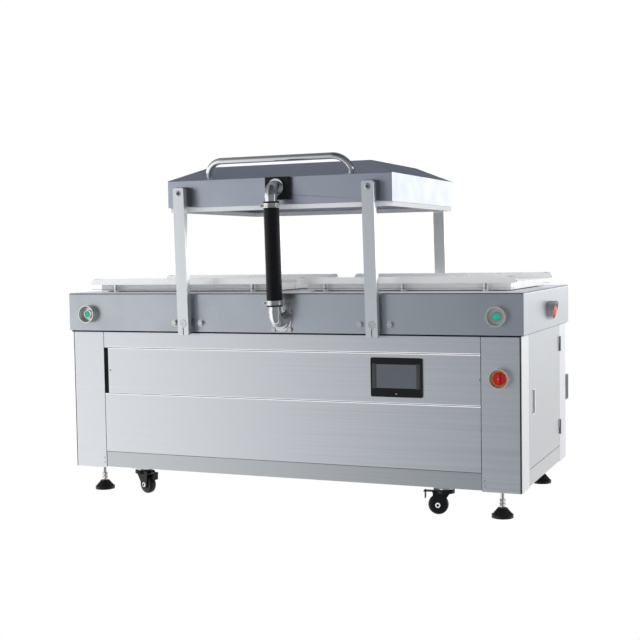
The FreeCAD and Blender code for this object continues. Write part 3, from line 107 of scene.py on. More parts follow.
def tint(tree, shader, source, colour, spread):
    """Vary the base colour by a share of itself."""
    mix = tree.nodes.new("ShaderNodeMix")
    mix.data_type = "RGBA"
    mix.inputs["A"].default_value = (*(channel * (1 - spread) for channel in colour), 1)
    mix.inputs["B"].default_value = (*(min(1, channel * (1 + spread)) for channel in colour), 1)
    tree.links.new(source, mix.inputs["Factor"])
    tree.links.new(mix.outputs["Result"], shader.inputs["Base Color"])


def bump(tree, shader, source, height, strength=1.0):
    """Surface relief of a height in metres."""
    node = tree.nodes.new("ShaderNodeBump")
    node.inputs["Strength"].default_value = strength
    node.inputs["Distance"].default_value = height
    tree.links.new(source, node.inputs["Height"])
    tree.links.new(node.outputs["Normal"], shader.inputs["Normal"])


def brushed(name, colour, stretch, roughness=0.34, spread=0.05, height=0.00001):
    """Brushed steel: fine lines along the axis with the smallest stretch."""
    material, tree, shader = new_material(name, colour, 1.0, roughness)
    lines = noise(tree, stretch, 1.0, 4.0)
    tint(tree, shader, ranged(tree, lines, 0, 1), colour, spread)
    tree.links.new(ranged(tree, lines, roughness - 0.06, roughness + 0.06), shader.inputs["Roughness"])
    bump(tree, shader, lines, height, 0.4)
    return material


def grained(name, colour, metallic, roughness, scale, spread=0.04, height=0.00002, **inputs):
    """A surface with even grain: bead-blasted steel, cast paint or moulded plastic."""
    material, tree, shader = new_material(name, colour, metallic, roughness, **inputs)
    grain = noise(tree, (1, 1, 1), scale, 4.0)
    tint(tree, shader, ranged(tree, grain, 0, 1), colour, spread)
    spots = noise(tree, (1, 1, 1), scale / 40, 2.0)
    tree.links.new(ranged(tree, spots, roughness - 0.03, roughness + 0.04), shader.inputs["Roughness"])
    bump(tree, shader, grain, height, 0.5)
    return material


LINES_ALONG_X = (1.2, 260, 420)
LINES_ALONG_Y = (260, 1.2, 420)
LINES_ALONG_Z = (420, 260, 1.2)
MATERIALS = {
    # Copies of one stainless steel with base colours scaled per surface: the lighter panel steel is
    # painted light; the darker side, deck and lid steels are painted shade. The deck's blasted grain is
    # its own.
    "satin": grained("satin_steel", (0.60, 0.635, 0.675), 1.0, 0.34, 420, 0.05),
    "lid": grained("lid_steel", (0.56, 0.60, 0.68), 1.0, 0.34, 420, 0.06),
    "panel": brushed("panel_steel_painted_light", (0.87, 0.89, 0.92), LINES_ALONG_X, 0.36, 0.045),
    "side": brushed("side_steel_painted_shade", (0.66, 0.68, 0.70), LINES_ALONG_Y, 0.36, 0.03),
    "kick": brushed("kick_steel", (0.68, 0.70, 0.71), LINES_ALONG_X, 0.36, 0.05),
    "arm": brushed("arm_steel", (0.92, 0.95, 0.98), LINES_ALONG_Z, 0.33, 0.04),
    # Whitened, barely metallic steel: painted highlight on the panel folds and the door pull lips.
    "edge_highlight": grained("painted_edge_highlight", (0.92, 0.93, 0.94), 0.1, 0.25, 200, 0.02, 0.000005),
    "chrome": grained("polished_steel", (0.86, 0.87, 0.88), 1.0, 0.12, 60, 0.02, 0.000005),
    "turned": brushed("turned_steel", (0.80, 0.80, 0.80), (300, 300, 300), 0.28, 0.06),
    "zinc": grained("zinc_plate", (0.74, 0.73, 0.70), 1.0, 0.26, 160, 0.06),
    "dark_steel": brushed("welded_steel", (0.40, 0.41, 0.42), LINES_ALONG_X, 0.45, 0.10),
    "aluminium": grained("aluminium", (0.90, 0.91, 0.92), 0.45, 0.26, 160, 0.02, 0.000005),
    "iron": grained("painted_iron", (0.05, 0.055, 0.06), 0.0, 0.42, 220, 0.15, 0.0001),
    "board": grained("white_board", (0.92, 0.92, 0.91), 0.0, 0.45, 240, 0.015, 0.00003),
    "black": grained("black_plastic", (0.005, 0.005, 0.006), 0.0, 0.30, 500, 0.2, 0.00002,
                     specular_ior_level=0.3),
    # Near-black and rough: painted shade for gaps, grooves and recesses.
    "gap_shade": grained("painted_gap_shade", (0.004, 0.004, 0.004), 0.0, 0.9, 100, 0.2),
    "rubber": grained("black_rubber", (0.007, 0.007, 0.009), 0.0, 0.38, 260, 0.2, 0.00005,
                      specular_ior_level=0.35),
    "tread": grained("caster_tread", (0.006, 0.006, 0.007), 0.0, 0.33, 320, 0.2, 0.00003,
                     specular_ior_level=0.35),
    "gasket": grained("light_silicone", (0.62, 0.64, 0.66), 0.0, 0.5, 200, 0.04, 0.00004),
    "silicone": grained("red_silicone", (0.35, 0.07, 0.04), 0.0, 0.55, 240, 0.06, 0.00004),
    "tape": grained("heater_tape", (0.80, 0.78, 0.73), 0.0, 0.35, 600, 0.05, 0.00003),
    "screen": grained("screen_glass", (0.090, 0.100, 0.115), 0.0, 0.10, 30, 0.03, 0.000001),
    "mask": grained("screen_border", (0.035, 0.038, 0.042), 0.0, 0.25, 300, 0.05, 0.000005),
    "green": grained("green_lens", (0.0, 0.34, 0.21), 0.0, 0.18, 300, 0.10, 0.00002,
                     emission_color=(0.0, 0.50, 0.32, 1), emission_strength=0.25),
    "red": grained("red_plastic", (0.46, 0.008, 0.010), 0.0, 0.22, 200, 0.05, 0.00001),
    "stop_red": grained("stop_red", (0.85, 0.085, 0.03), 0.0, 0.25, 200, 0.05, 0.00001),
    "yellow": grained("amber_ring", (0.85, 0.26, 0.02), 0.0, 0.3, 200, 0.05, 0.00001),
    "blue": grained("pump_paint", (0.05, 0.10, 0.17), 0.0, 0.4, 120, 0.08, 0.0002),
    "grey": grained("powder_coat", (0.42, 0.43, 0.42), 0.0, 0.5, 300, 0.04, 0.0001),
    "copper": grained("varnished_copper", (0.32, 0.11, 0.04), 0.6, 0.35, 90, 0.15, 0.0002),
    "guard": grained("guard_steel", (0.74, 0.73, 0.71), 0.8, 0.26, 160, 0.04, 0.000005),
    "white_cap": grained("white_cap", (0.80, 0.80, 0.78), 0.0, 0.4, 200, 0.03),
}


def hose_material():
    """Black wire-reinforced hose: a fine helix shows through its skin."""
    colour = (0.004, 0.004, 0.006)
    material, tree, shader = new_material("ribbed_hose", colour, 0.0, 0.30, specular_ior_level=0.22)
    coordinates = tree.nodes.new("ShaderNodeTexCoord")
    wave = tree.nodes.new("ShaderNodeTexWave")
    wave.wave_type = "BANDS"
    wave.bands_direction = "Z"
    wave.inputs["Scale"].default_value = 38
    wave.inputs["Distortion"].default_value = 0.6
    tree.links.new(coordinates.outputs["Object"], wave.inputs["Vector"])
    bump(tree, shader, wave.outputs["Fac"], 0.0006, 0.6)
    grain = noise(tree, (1, 1, 1), 220, 3.0)
    tree.links.new(ranged(tree, grain, 0.25, 0.45), shader.inputs["Roughness"])
    tint(tree, shader, ranged(tree, grain, 0, 1), colour, 0.3)
    return material


def paint_light_on_tops(material):
    """Level faces turn almost non-metallic so they read lighter: painted light on the tops."""
    tree = material.node_tree
    coordinates = tree.nodes.new("ShaderNodeTexCoord")
    split = tree.nodes.new("ShaderNodeSeparateXYZ")
    tree.links.new(coordinates.outputs["Normal"], split.inputs["Vector"])
    painted_top_light = ranged(tree, split.outputs["Z"], low=1.0, high=0.1, start=0.6, end=0.95)
    tree.links.new(painted_top_light, tree.nodes["Principled BSDF"].inputs["Metallic"])


MATERIALS["hose"] = hose_material()
# The deck's upward faces get painted light.
paint_light_on_tops(MATERIALS["satin"])

CAD_LOOKS = {
    "guard": ["switch_guards"],
    "satin": ["deck"],
    "lid": ["lid_shell"],
    "panel": ["corner_posts", "front_top_strip", "control_panel", "lower_front_panel", "rear_panel"],
    "side": ["door_hinge_leaves", "side_door_right", "side_door_left"],
    "kick": ["kick_strips"],
    "arm": ["arms_left", "arms_right"],
    "chrome": ["lid_handle", "hose_elbows", "hose_flange"],
    "turned": ["bar_lift_rams", "shaft_left", "shaft_right"],
    "zinc": ["bearing_bolts", "flange_bolts", "hose_clamps", "foot_studs", "caster_mounts"],
    "dark_steel": ["base_frame", "floor_tray"],
    "aluminium": ["seal_bar_left_front", "seal_bar_left_rear", "seal_bar_right_front",
                  "seal_bar_right_rear", "counter_bars"],
    "iron": ["shaft_bearings", "arm_blocks"],
    "board": ["filler_boards"],
    "black": ["screen_bezel", "hose_port_plate", "power_connector", "brake_pedal_left_front",
              "brake_pedal_right_front", "caster_fork_left_front", "caster_fork_right_front"],
    "rubber": ["foot_pads"],
    "gasket": ["lid_gasket"],
    "silicone": ["silicone_strips"],
    "screen": ["screen_glass"],
    "hose": ["hose"],
    "blue": ["vacuum_pump", "suction_manifold"],
    "grey": ["pump_motor", "control_box"],
    "copper": ["sealing_transformer"],
}
for look, names in CAD_LOOKS.items():
    for name in names:
        NODES[name].data.materials.clear()
        NODES[name].data.materials.append(MATERIALS[look])


BEVEL_SEGMENTS = 2
BEVEL_ANGLE = radians(40)


def soften(name, width):
    """Break the sharp edges of a CAD node with modifiers only."""
    node = NODES[name]
    weld = node.modifiers.new("weld", "WELD")
    weld.merge_threshold = 0.00001
    bevel = node.modifiers.new("bevel", "BEVEL")
    bevel.width = width
    bevel.segments = BEVEL_SEGMENTS
    bevel.limit_method = "ANGLE"
    bevel.angle_limit = BEVEL_ANGLE
    bevel.harden_normals = True


for name, width in {"lid_shell": 2.5, "arms_left": 1.6, "arms_right": 1.6, "filler_boards": 2.0,
                    "seal_bar_left_front": 0.8, "seal_bar_left_rear": 0.8, "seal_bar_right_front": 0.8,
                    "seal_bar_right_rear": 0.8, "screen_bezel": 0.8, "arm_blocks": 3.0,
                    "hose_port_plate": 2.5, "foot_pads": 1.5, "power_connector": 1.5,
                    "vacuum_pump": 3.0, "control_box": 2.0, "counter_bars": 1.0,
                    "lower_front_panel": 0.7, "control_panel": 0.7, "front_top_strip": 0.7}.items():
    soften(name, width * MM)


# ------------------------------------------------------------------ mesh tools
SHARP_ANGLE = radians(32)


def piece(name, mesh, look, body):
    """Finish a new mesh as a piece that rides on a body."""
    obj = bpy.data.objects.new(name, mesh)
    bpy.context.scene.collection.objects.link(obj)
    mesh.materials.append(MATERIALS[look])
    mesh.shade_smooth()
    mesh.set_sharp_from_angle(angle=SHARP_ANGLE)
    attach(obj, body)
    return obj


def aligned(axis):
    """The turn that brings Z onto an axis."""
    return Vector(axis).to_track_quat("Z", "Y").to_matrix().to_4x4()


def lathe(name, profile, at, axis, look, body, steps=48):
    """Spin a list of (radius, height) in millimetres about an axis through a point."""
    mesh = bpy.data.meshes.new(name)
    shape = bmesh.new()
    rings = []
    for radius, height in profile:
        if radius <= 0:
            rings.append([shape.verts.new((0, 0, height * MM))])
        else:
            rings.append([shape.verts.new((radius * MM * cos(2 * pi * i / steps),
                                           radius * MM * sin(2 * pi * i / steps), height * MM))
                          for i in range(steps)])
    for low, high in zip(rings, rings[1:]):
        for i in range(steps):
            corners = [low[i % len(low)], low[(i + 1) % len(low)],
                       high[(i + 1) % len(high)], high[i % len(high)]]
            corners = list(dict.fromkeys(corners))
            if len(corners) > 2:
                shape.faces.new(corners)
    bmesh.ops.recalc_face_normals(shape, faces=shape.faces)
    shape.transform(Matrix.Translation(at) @ aligned(axis))
    shape.to_mesh(mesh)
    shape.free()
    return piece(name, mesh, look, body)


def slab(name, low, high, look, body, edge=0.5):
    """A block between two corners in metres, its edges bevelled by an edge in millimetres."""
    mesh = bpy.data.meshes.new(name)
    shape = bmesh.new()
    bmesh.ops.create_cube(shape, size=1)
    low, high = Vector(low), Vector(high)
    for vertex in shape.verts:
        vertex.co = Vector(low[i] if vertex.co[i] < 0 else high[i] for i in range(3))
    if edge:
        bmesh.ops.bevel(shape, geom=shape.edges[:], offset=edge * MM, segments=2, affect="EDGES",
                        profile=0.6)
    shape.to_mesh(mesh)
    shape.free()
    return piece(name, mesh, look, body)


def hull(name, points, look, body, edge=0.0):
    """The convex solid around some points in metres."""
    mesh = bpy.data.meshes.new(name)
    shape = bmesh.new()
    for point in points:
        shape.verts.new(point)
    made = bmesh.ops.convex_hull(shape, input=shape.verts[:])
    inside = set(made["geom_interior"]) | set(made["geom_unused"])
    bmesh.ops.delete(shape, geom=list(inside), context="VERTS")
    if edge:
        bmesh.ops.dissolve_limit(shape, angle_limit=radians(2), verts=shape.verts[:],
                                 edges=shape.edges[:])
        bmesh.ops.bevel(shape, geom=shape.edges[:], offset=edge * MM, segments=2, affect="EDGES")
    shape.to_mesh(mesh)
    shape.free()
    return piece(name, mesh, look, body)


def corners(box):
    """The low and the high corner of a box as vectors."""
    return [Vector(corner) for corner in box]


def middle(name):
    """The centre of a CAD node's box."""
    low, high = corners(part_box(name))
    return (low + high) / 2


def dome(radius, height, rise):
    """The profile of a button: upright sides, a rounded rim and a shallow dome."""
    edge = 0.6
    points = [(0, 0), (radius, 0), (radius, height - edge)]
    points += [(radius - edge + edge * cos(pi * i / 8), height - edge + edge * sin(pi * i / 8))
               for i in range(1, 5)]
    points += [((radius - edge) * cos(pi * i / 16), height + rise * sin(pi * i / 16))
               for i in range(1, 8)]
    return points + [(0, height + rise)]


# ------------------------------------------------------------------ places from the frame
deck_low, deck_high = corners(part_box("deck"))
panel_low, panel_high = corners(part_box("control_panel"))
strip_low, strip_high = corners(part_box("front_top_strip"))
lower_low, lower_high = corners(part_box("lower_front_panel"))
post_low, post_high = corners(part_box("corner_posts"))
front = panel_low.y

# ------------------------------------------------------------------ seams, edges and gaps
# Near-black sheets just behind the front panels fill the recess beside the control panel and the seams
# at the strip ends: painted shade.
BACK = front + 2.2 * MM
slab("dark_slot", (strip_low.x - 2 * MM, BACK, panel_low.z),
     (panel_low.x + 12 * MM, BACK + 1.4 * MM, panel_high.z), "gap_shade", "base", 0.2)
for side, x in (("left", strip_low.x), ("right", strip_high.x)):
    inner = -1 if side == "right" else 1
    xs = sorted((x - inner * 1.9 * MM, x + inner * 10 * MM))
    slab(f"seam_shade_top_{side}", (xs[0], BACK, strip_low.z), (xs[1], BACK + 1.2 * MM, strip_high.z),
         "gap_shade", "base", 0.2)
    slab(f"seam_shade_low_{side}", (xs[0], BACK, post_low.z + 6 * MM),
         (xs[1], BACK + 1.2 * MM, lower_high.z), "gap_shade", "base", 0.2)
# Near-black strips just under the deck edge, front and sides: painted shadow of the deck skirt.
deck_shade_bottom = deck_low.z - 6 * MM
slab("deck_shade_front", (post_low.x, deck_low.y + 0.6 * MM, deck_shade_bottom),
     (post_high.x, front - 0.2 * MM, deck_low.z - 0.1 * MM), "gap_shade", "base", 0.2)
for side, sign in (("left", -1), ("right", 1)):
    xs = sorted((sign * (post_high.x + 0.3 * MM), sign * (deck_high.x - 5.2 * MM)))
    slab(f"deck_shade_{side}", (xs[0], deck_low.y + 6 * MM, deck_low.z - 3 * MM),
         (xs[1], deck_high.y - 14 * MM, deck_low.z - 0.1 * MM), "gap_shade", "base", 0.2)
    # Near-black strip in the corner groove of each post: painted shade.
    xs = sorted((sign * (post_high.x - 5.8 * MM), sign * (post_high.x - 2.2 * MM)))
    slab(f"corner_groove_shade_{side}", (xs[0], front + 0.6 * MM, post_low.z),
         (xs[1], front + 1.9 * MM, post_high.z), "gap_shade", "base", 0.1)
# Folded edges of the panels and strip: real folds, their whitened edge material a painted highlight.
for name, low, high in (("control", panel_low, panel_high), ("lower", lower_low, lower_high)):
    slab(f"{name}_panel_fold_highlight", (low.x, front - 0.9 * MM, high.z - 3.4 * MM),
         (high.x, front + 1.0 * MM, high.z), "edge_highlight", "base", 0.8)
slab("strip_fold_highlight", (strip_low.x, front - 0.9 * MM, strip_low.z),
     (strip_high.x, front + 1 * MM, strip_low.z + 3 * MM), "edge_highlight", "base", 0.8)
slab("control_fold_low_highlight", (panel_low.x, front - 0.9 * MM, panel_low.z),
     (panel_high.x, front + 1 * MM, panel_low.z + 2.4 * MM), "edge_highlight", "base", 0.7)
for name, x in (("left", panel_low.x + 8 * MM), ("right", panel_high.x - 4 * MM)):
    lathe(f"panel_screw_{name}", [(0, 0), (4, 0), (4, 1.2), (3, 2), (1.6, 2.1), (1.4, 1.2), (0, 1.2)],
          (x, front, (panel_low.z + panel_high.z) / 2), -Y_AXIS, "zinc", "base", 24)
for side, sign in (("left", -1), ("right", 1)):
    for row, z in enumerate((post_low.z + 20 * MM, post_low.z + 40 * MM)):
        lathe(f"post_screw_{side}_{row}", [(0, 0), (3.2, 0), (3.2, 1), (2.4, 1.8), (0, 1.9)],
              (sign * (strip_high.x + 12 * MM), front, z), -Y_AXIS, "zinc", "base", 20)

# ------------------------------------------------------------------ operator panel
glass_low, glass_high = corners(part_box("screen_glass"))
bezel_low, bezel_high = corners(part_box("screen_bezel"))
face = glass_low.y
for name, low_x, high_x in (("left", bezel_low.x + 7 * MM, glass_low.x),
                            ("right", glass_high.x, bezel_high.x - 7 * MM)):
    slab(f"screen_border_{name}", (low_x, face - 0.3 * MM, glass_low.z - 2 * MM),
         (high_x, face + 0.2 * MM, glass_high.z + 2 * MM), "mask", "base", 0.1)
slab("screen_seal_top", (bezel_low.x - 1 * MM, front - 1.2 * MM, bezel_high.z - 0.4 * MM),
     (bezel_high.x + 1 * MM, front - 0.1 * MM, bezel_high.z + 1.4 * MM), "gasket", "base", 0.3)
slab("screen_seal_low", (bezel_low.x - 1 * MM, front - 1.2 * MM, bezel_low.z - 1.4 * MM),
     (bezel_high.x + 1 * MM, front - 0.1 * MM, bezel_low.z + 0.4 * MM), "gasket", "base", 0.3)
lathe("screen_lamp", [(0, 0), (1.6, 0), (1.6, 0.3), (0, 0.5)],
      ((bezel_low.x + bezel_high.x) / 2, bezel_low.y, bezel_low.z + 12 * MM), -Y_AXIS,
      "white_cap", "base", 16)

# ------------------------------------------------------------------ buttons and switches
for side in ("left", "right"):
    node = f"start_button_{side}"
    low, high = corners(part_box(node))
    centre = middle(node)
    radius = (high.x - low.x) / 2 / MM
    depth = (high.y - low.y) / MM
    lens = lathe(node + "_lens", dome(radius - 0.2, depth - 1.5, 1.5),
                 (centre.x, high.y, centre.z), -Y_AXIS, "green", f"start_{side}")
    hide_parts(node)
    lathe(f"start_bezel_{side}",
          [(radius + 0.5, 0), (radius + 4.6, 0), (radius + 4.6, 5), (radius + 3.6, 6.2),
           (radius + 1.4, 6.2), (radius + 0.5, 5), (radius + 0.5, 0)],
          (centre.x, high.y - 1.5 * MM, centre.z), -Y_AXIS, "chrome", "base")

low, high = corners(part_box("estop_button"))
centre = middle("estop_button")
reach = (high.x - low.x) / MM
mushroom = lathe("estop_mushroom",
                 [(0, 0), (8, 0), (8, reach - 15), (15, reach - 14), (18.5, reach - 13),
                  (20, reach - 11), (20, reach - 7), (19, reach - 4.5), (15, reach - 2),
                  (9, reach - 0.7), (0, reach)],
                 (low.x, centre.y, centre.z), X_AXIS, "stop_red", "estop", 64)
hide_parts("estop_button")
lathe("estop_collar", [(8.6, 0), (17, 0), (17, 4.4), (15.8, 5.4), (8.6, 5.4), (8.6, 0)],
      (deck_high.x + 3 * MM, centre.y, centre.z), X_AXIS, "black", "base")

low, high = corners(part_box("main_switch_knob"))
centre = middle("main_switch_knob")
grip_front = low.y
disc = lathe("switch_disc", [(0, 0), (8, 0), (8, 9), (22.4, 9), (23, 9.6), (23, 14), (22, 15),
                             (12, 15.4), (0, 15.4)],
             (centre.x, front, centre.z), -Y_AXIS, "red", "main_switch", 64)
grip = []
for z, half, depth in ((-20, 4.2, 15), (-20, 3.4, 24), (20, 4.2, 15), (20, 3.4, 24),
                       (-10, 6, 15), (10, 6, 15), (-13, 4.4, 26), (13, 4.4, 26)):
    for sign in (-1, 1):
        grip.append((centre.x + sign * half * MM, front - depth * MM, centre.z + z * MM))
hull("switch_grip", grip, "red", "main_switch", 0.8)
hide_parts("main_switch_knob")
lathe("switch_amber_ring", [(17, 0), (29, 0), (29, 4.6), (28, 5.6), (17, 5.6), (17, 0)],
      (centre.x, front - 3 * MM, centre.z), -Y_AXIS, "yellow", "base", 64)
lathe("switch_screw", [(0, 0), (2.6, 0), (2.6, 0.5), (0, 0.7)],
      (centre.x, grip_front, centre.z), -Y_AXIS, "zinc", "main_switch", 20)

# ------------------------------------------------------------------ seal bars
TAPE_INSET = 28 * MM
CLAMP_INSET = 19 * MM
for side in ("left", "right"):
    for end in ("front", "rear"):
        node = f"seal_bar_{side}_{end}"
        body = f"bar_{side}_{end}"
        low, high = corners(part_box(node))
        y = (low.y + high.y) / 2
        slab(f"heater_tape_{side}_{end}", (low.x + TAPE_INSET, y - 9 * MM, high.z - 0.1 * MM),
             (high.x - TAPE_INSET, y + 9 * MM, high.z + 0.5 * MM), "tape", body, 0.2)
        for name, x in (("a", low.x + CLAMP_INSET), ("b", high.x - CLAMP_INSET)):
            slab(f"tape_clamp_{name}_{side}_{end}", (x - 7 * MM, y - 11 * MM, high.z - 0.2 * MM),
                 (x + 7 * MM, y + 11 * MM, high.z + 0.8 * MM), "iron", body, 0.3)
        # Dark lines along the bar's lower front edge and near its top back edge: painted shadow lines.
        slab(f"bar_shadow_low_{side}_{end}", (low.x + 2 * MM, low.y - 0.4 * MM, low.z + 1.0 * MM),
             (high.x - 2 * MM, low.y + 0.4 * MM, low.z + 2.4 * MM), "iron", body, 0.2)
        slab(f"bar_shadow_top_{side}_{end}", (low.x + 2 * MM, high.y - 10.8 * MM, high.z - 0.2 * MM),
             (high.x - 2 * MM, high.y - 9.6 * MM, high.z + 0.4 * MM), "iron", body, 0.1)
        for name, x, axis in (("a", low.x, -X_AXIS), ("b", high.x, X_AXIS)):
            lathe(f"bar_end_screw_{name}_{side}_{end}",
                  [(0, 0), (4, 0), (4, 2.2), (3.2, 3), (1.8, 3), (1.8, 1.4), (0, 1.4)],
                  (x, y, low.z + 27 * MM), axis, "zinc", body, 20)

# ------------------------------------------------------------------ arms, shafts and pins
HALF_ARM = 12.5 * MM
PIN_HEIGHT = 48.5 * MM
PIN_INSET = 22 * MM
for side, body in (("left", "left_link"), ("right", "right_link")):
    low, high = corners(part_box(f"shaft_{side}"))
    axis_at = middle(f"shaft_{side}")
    for end, y, axis in (("front", low.y, -Y_AXIS), ("rear", high.y, Y_AXIS)):
        lathe(f"shaft_face_{side}_{end}",
              [(0, -0.5), (15.6, -0.5), (15.6, 0.4), (14.8, 1.0), (9, 1.0), (8.6, 0.7), (3.2, 0.7),
               (2.2, -0.3), (0, -0.3)],
              (axis_at.x, y, axis_at.z), axis, "turned", body)
        arm_middle = y - (HALF_ARM if y > 0 else -HALF_ARM)
        lathe(f"clamp_screw_{side}_{end}",
              [(0, -3), (5, -3), (5, 2.6), (4.4, 3.4), (2.6, 3.4), (2.6, 1), (0, 1)],
              (axis_at.x + 24 * MM, arm_middle, axis_at.z - 29 * MM), X_AXIS, "zinc", body, 24)
pins_low, pins_high = corners(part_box("arm_blocks"))
pivot_z = pins_low.z + PIN_HEIGHT
for side, x in (("left", pins_low.x + PIN_INSET), ("right", pins_high.x - PIN_INSET)):
    for end, y, axis in (("front", pins_low.y, -Y_AXIS), ("rear", pins_high.y, Y_AXIS)):
        lathe(f"pin_head_{side}_{end}",
              [(0, -0.4), (11.6, -0.4), (11.6, 0.3), (8, 0.8), (7.4, 0.4), (0, 0.3)],
              (x, y, pivot_z), axis, "turned", "lid", 40)
        lathe(f"pin_socket_{side}_{end}", [(0, 0), (6.6, 0), (6.6, 1.1), (6, 1.4), (0, 1.4)],
              (x, y, pivot_z), axis, "iron", "lid", 40)

# ------------------------------------------------------------------ door pulls
PULL_BOTTOM, PULL_TOP = 0.366, 0.458
for side, sign in (("left", -1), ("right", 1)):
    door_x = sign * post_high.x
    body = f"door_{side}"
    # The pull lips are real; their whitened edge material is a painted highlight.
    for name, y, wide in (("front", -228.5, 3.0), ("rear", -199.5, 5.0)):
        xs = sorted((door_x - sign * 0.2 * MM, door_x + sign * (2.2 if name == "front" else 4.5) * MM))
        slab(f"pull_lip_highlight_{name}_{side}", (xs[0], (y - wide / 2) * MM, PULL_BOTTOM),
             (xs[1], (y + wide / 2) * MM, PULL_TOP), "edge_highlight", body, 1.0)
    xs = sorted((door_x - sign * 0.2 * MM, door_x + sign * 2.2 * MM))
    for name, z in (("low", 0.367), ("high", 0.457)):
        slab(f"pull_lip_highlight_{name}_{side}", (xs[0], -0.229, z - 1.6 * MM), (xs[1], -0.199, z + 1.6 * MM),
             "edge_highlight", body, 0.8)
    # Near-black sheet inside the pull recess: painted shade.
    xs = sorted((door_x - sign * 13.4 * MM, door_x - sign * 12.4 * MM))
    slab(f"pull_recess_shade_{side}", (xs[0], -0.2265, 0.3695), (xs[1], -0.2015, 0.4545), "gap_shade", body, 0.2)

# ------------------------------------------------------------------ hose ends
HOSE_LENGTH = 508
LEAN_ANGLE = radians(-1)
LEAN = Vector((sin(LEAN_ANGLE), 0, cos(LEAN_ANGLE)))
pivot = Vector((15 * MM, middle("hose").y, 717 * MM))
for name, distance in (("low", 64), ("low_b", 78), ("high", HOSE_LENGTH - 64),
                       ("high_b", HOSE_LENGTH - 78)):
    lathe(f"clamp_bead_{name}",
          [(30, -1.6), (32.4, -1.6), (32.8, 0), (32.4, 1.6), (30, 1.6), (30, -1.6)],
          pivot + LEAN * distance * MM, LEAN, "chrome", "hose_link")
for name, distance in (("low", 57.5), ("high", HOSE_LENGTH - 57.5)):
    lathe(f"hose_cuff_{name}",
          [(24.2, -1.5), (30.6, -1.5), (31, 0), (30.6, 1.5), (24.2, 1.5), (24.2, -1.5)],
          pivot + LEAN * distance * MM, LEAN, "rubber", "hose_link")

# ------------------------------------------------------------------ casters
CASTER_TRAIL = 26 * MM
HEADINGS = {"left_front": 340, "right_front": 190, "left_rear": 180, "right_rear": 180}
for corner, heading in HEADINGS.items():
    wheel = f"caster_wheel_{corner}"
    centre = middle(wheel)
    trail = Vector((cos(radians(heading)), sin(radians(heading)), 0))
    across = Z_AXIS.cross(trail)
    body = f"wheel_{corner}"
    tyre = lathe(f"tyre_{corner}",
                 [(17, -15), (30, -15), (33, -13.5), (36, -10), (37.4, -5), (37.5, 0), (37.4, 5),
                  (36, 10), (33, 13.5), (30, 15), (17, 15)], centre, across, "tread", body, 64)
    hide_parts(wheel)
    lathe(f"hub_{corner}", [(5.2, -17), (15, -17), (17.5, -14), (17.5, 14), (15, 17), (5.2, 17)],
          centre, across, "black", body)
    caps = "base" if corner.endswith("rear") else "caster_" + corner.split("_")[0]
    for name, sign in (("a", -1), ("b", 1)):
        lathe(f"axle_cap_{corner}_{name}", dome(9.5, 2.4, 1.2), centre + across * sign * 22 * MM,
              across * sign, "white_cap", caps, 32)
    if corner.endswith("front"):
        node = f"caster_fork_{corner}"
        fork_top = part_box(node)[1][2]
        swivel = centre - trail * CASTER_TRAIL
        tread = []
        for along in (72, 76):
            for height, half in ((-34, 9), (-30, 12), (-6, 12), (-2, 9)):
                for sign in (-1, 1):
                    start = Vector((swivel.x, swivel.y, fork_top + height * MM))
                    tread.append(start + trail * along * MM + across * sign * half * MM)
        hull(f"pedal_tread_{corner}", tread, "black", "pedal_" + corner.split("_")[0], 0.8)
        neck = [Vector((swivel.x, swivel.y, fork_top + height * MM)) + trail * along * MM
                + across * half * MM
                for height in (-9, -6) for along in (50, 73) for half in (-7, 7)]
        hull(f"pedal_neck_{corner}", neck, "black", "pedal_" + corner.split("_")[0], 0.5)
        lathe(f"swivel_race_{corner}", [(9, 0), (27, 0), (29, 2), (29, 5), (26, 7.5), (9, 7.5)],
              (swivel.x, swivel.y, fork_top + 0.5 * MM), Z_AXIS, "zinc", "base")

# ------------------------------------------------------------------ machinery behind the doors
pump_low = corners(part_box("vacuum_pump"))[0]
motor_low, motor_high = corners(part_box("pump_motor"))
MOTOR_AXIS_HEIGHT = 140 * MM
motor_axis = Vector((motor_low.x, (motor_low.y + motor_high.y) / 2, motor_low.z + MOTOR_AXIS_HEIGHT))
lathe("oil_window", [(0, 0), (16, 0), (16, 5), (13, 7), (11, 5), (0, 5)],
      (pump_low.x + 90 * MM, pump_low.y, pump_low.z + 90 * MM), -Y_AXIS, "zinc", "base")
FIN_COUNT, FIN_START, FIN_PITCH = 9, 52, 22
for i in range(FIN_COUNT):
    x = motor_low.x + (FIN_START + FIN_PITCH * i) * MM
    lathe(f"motor_fin_{i}", [(99.6, -2), (103, -2), (103, 2), (99.6, 2), (99.6, -2)],
          (x, motor_axis.y, motor_axis.z), X_AXIS, "grey", "base", 64)
box_low, box_high = corners(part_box("control_box"))
VENT_COUNT, VENT_START, VENT_PITCH = 6, 60, 14
for i in range(VENT_COUNT):
    z = box_low.z + (VENT_START + VENT_PITCH * i) * MM
    slab(f"box_vent_{i}", (box_high.x - 0.2 * MM, box_low.y + 35 * MM, z),
         (box_high.x + 1.4 * MM, box_high.y - 35 * MM, z + 5 * MM), "grey", "base", 0.5)

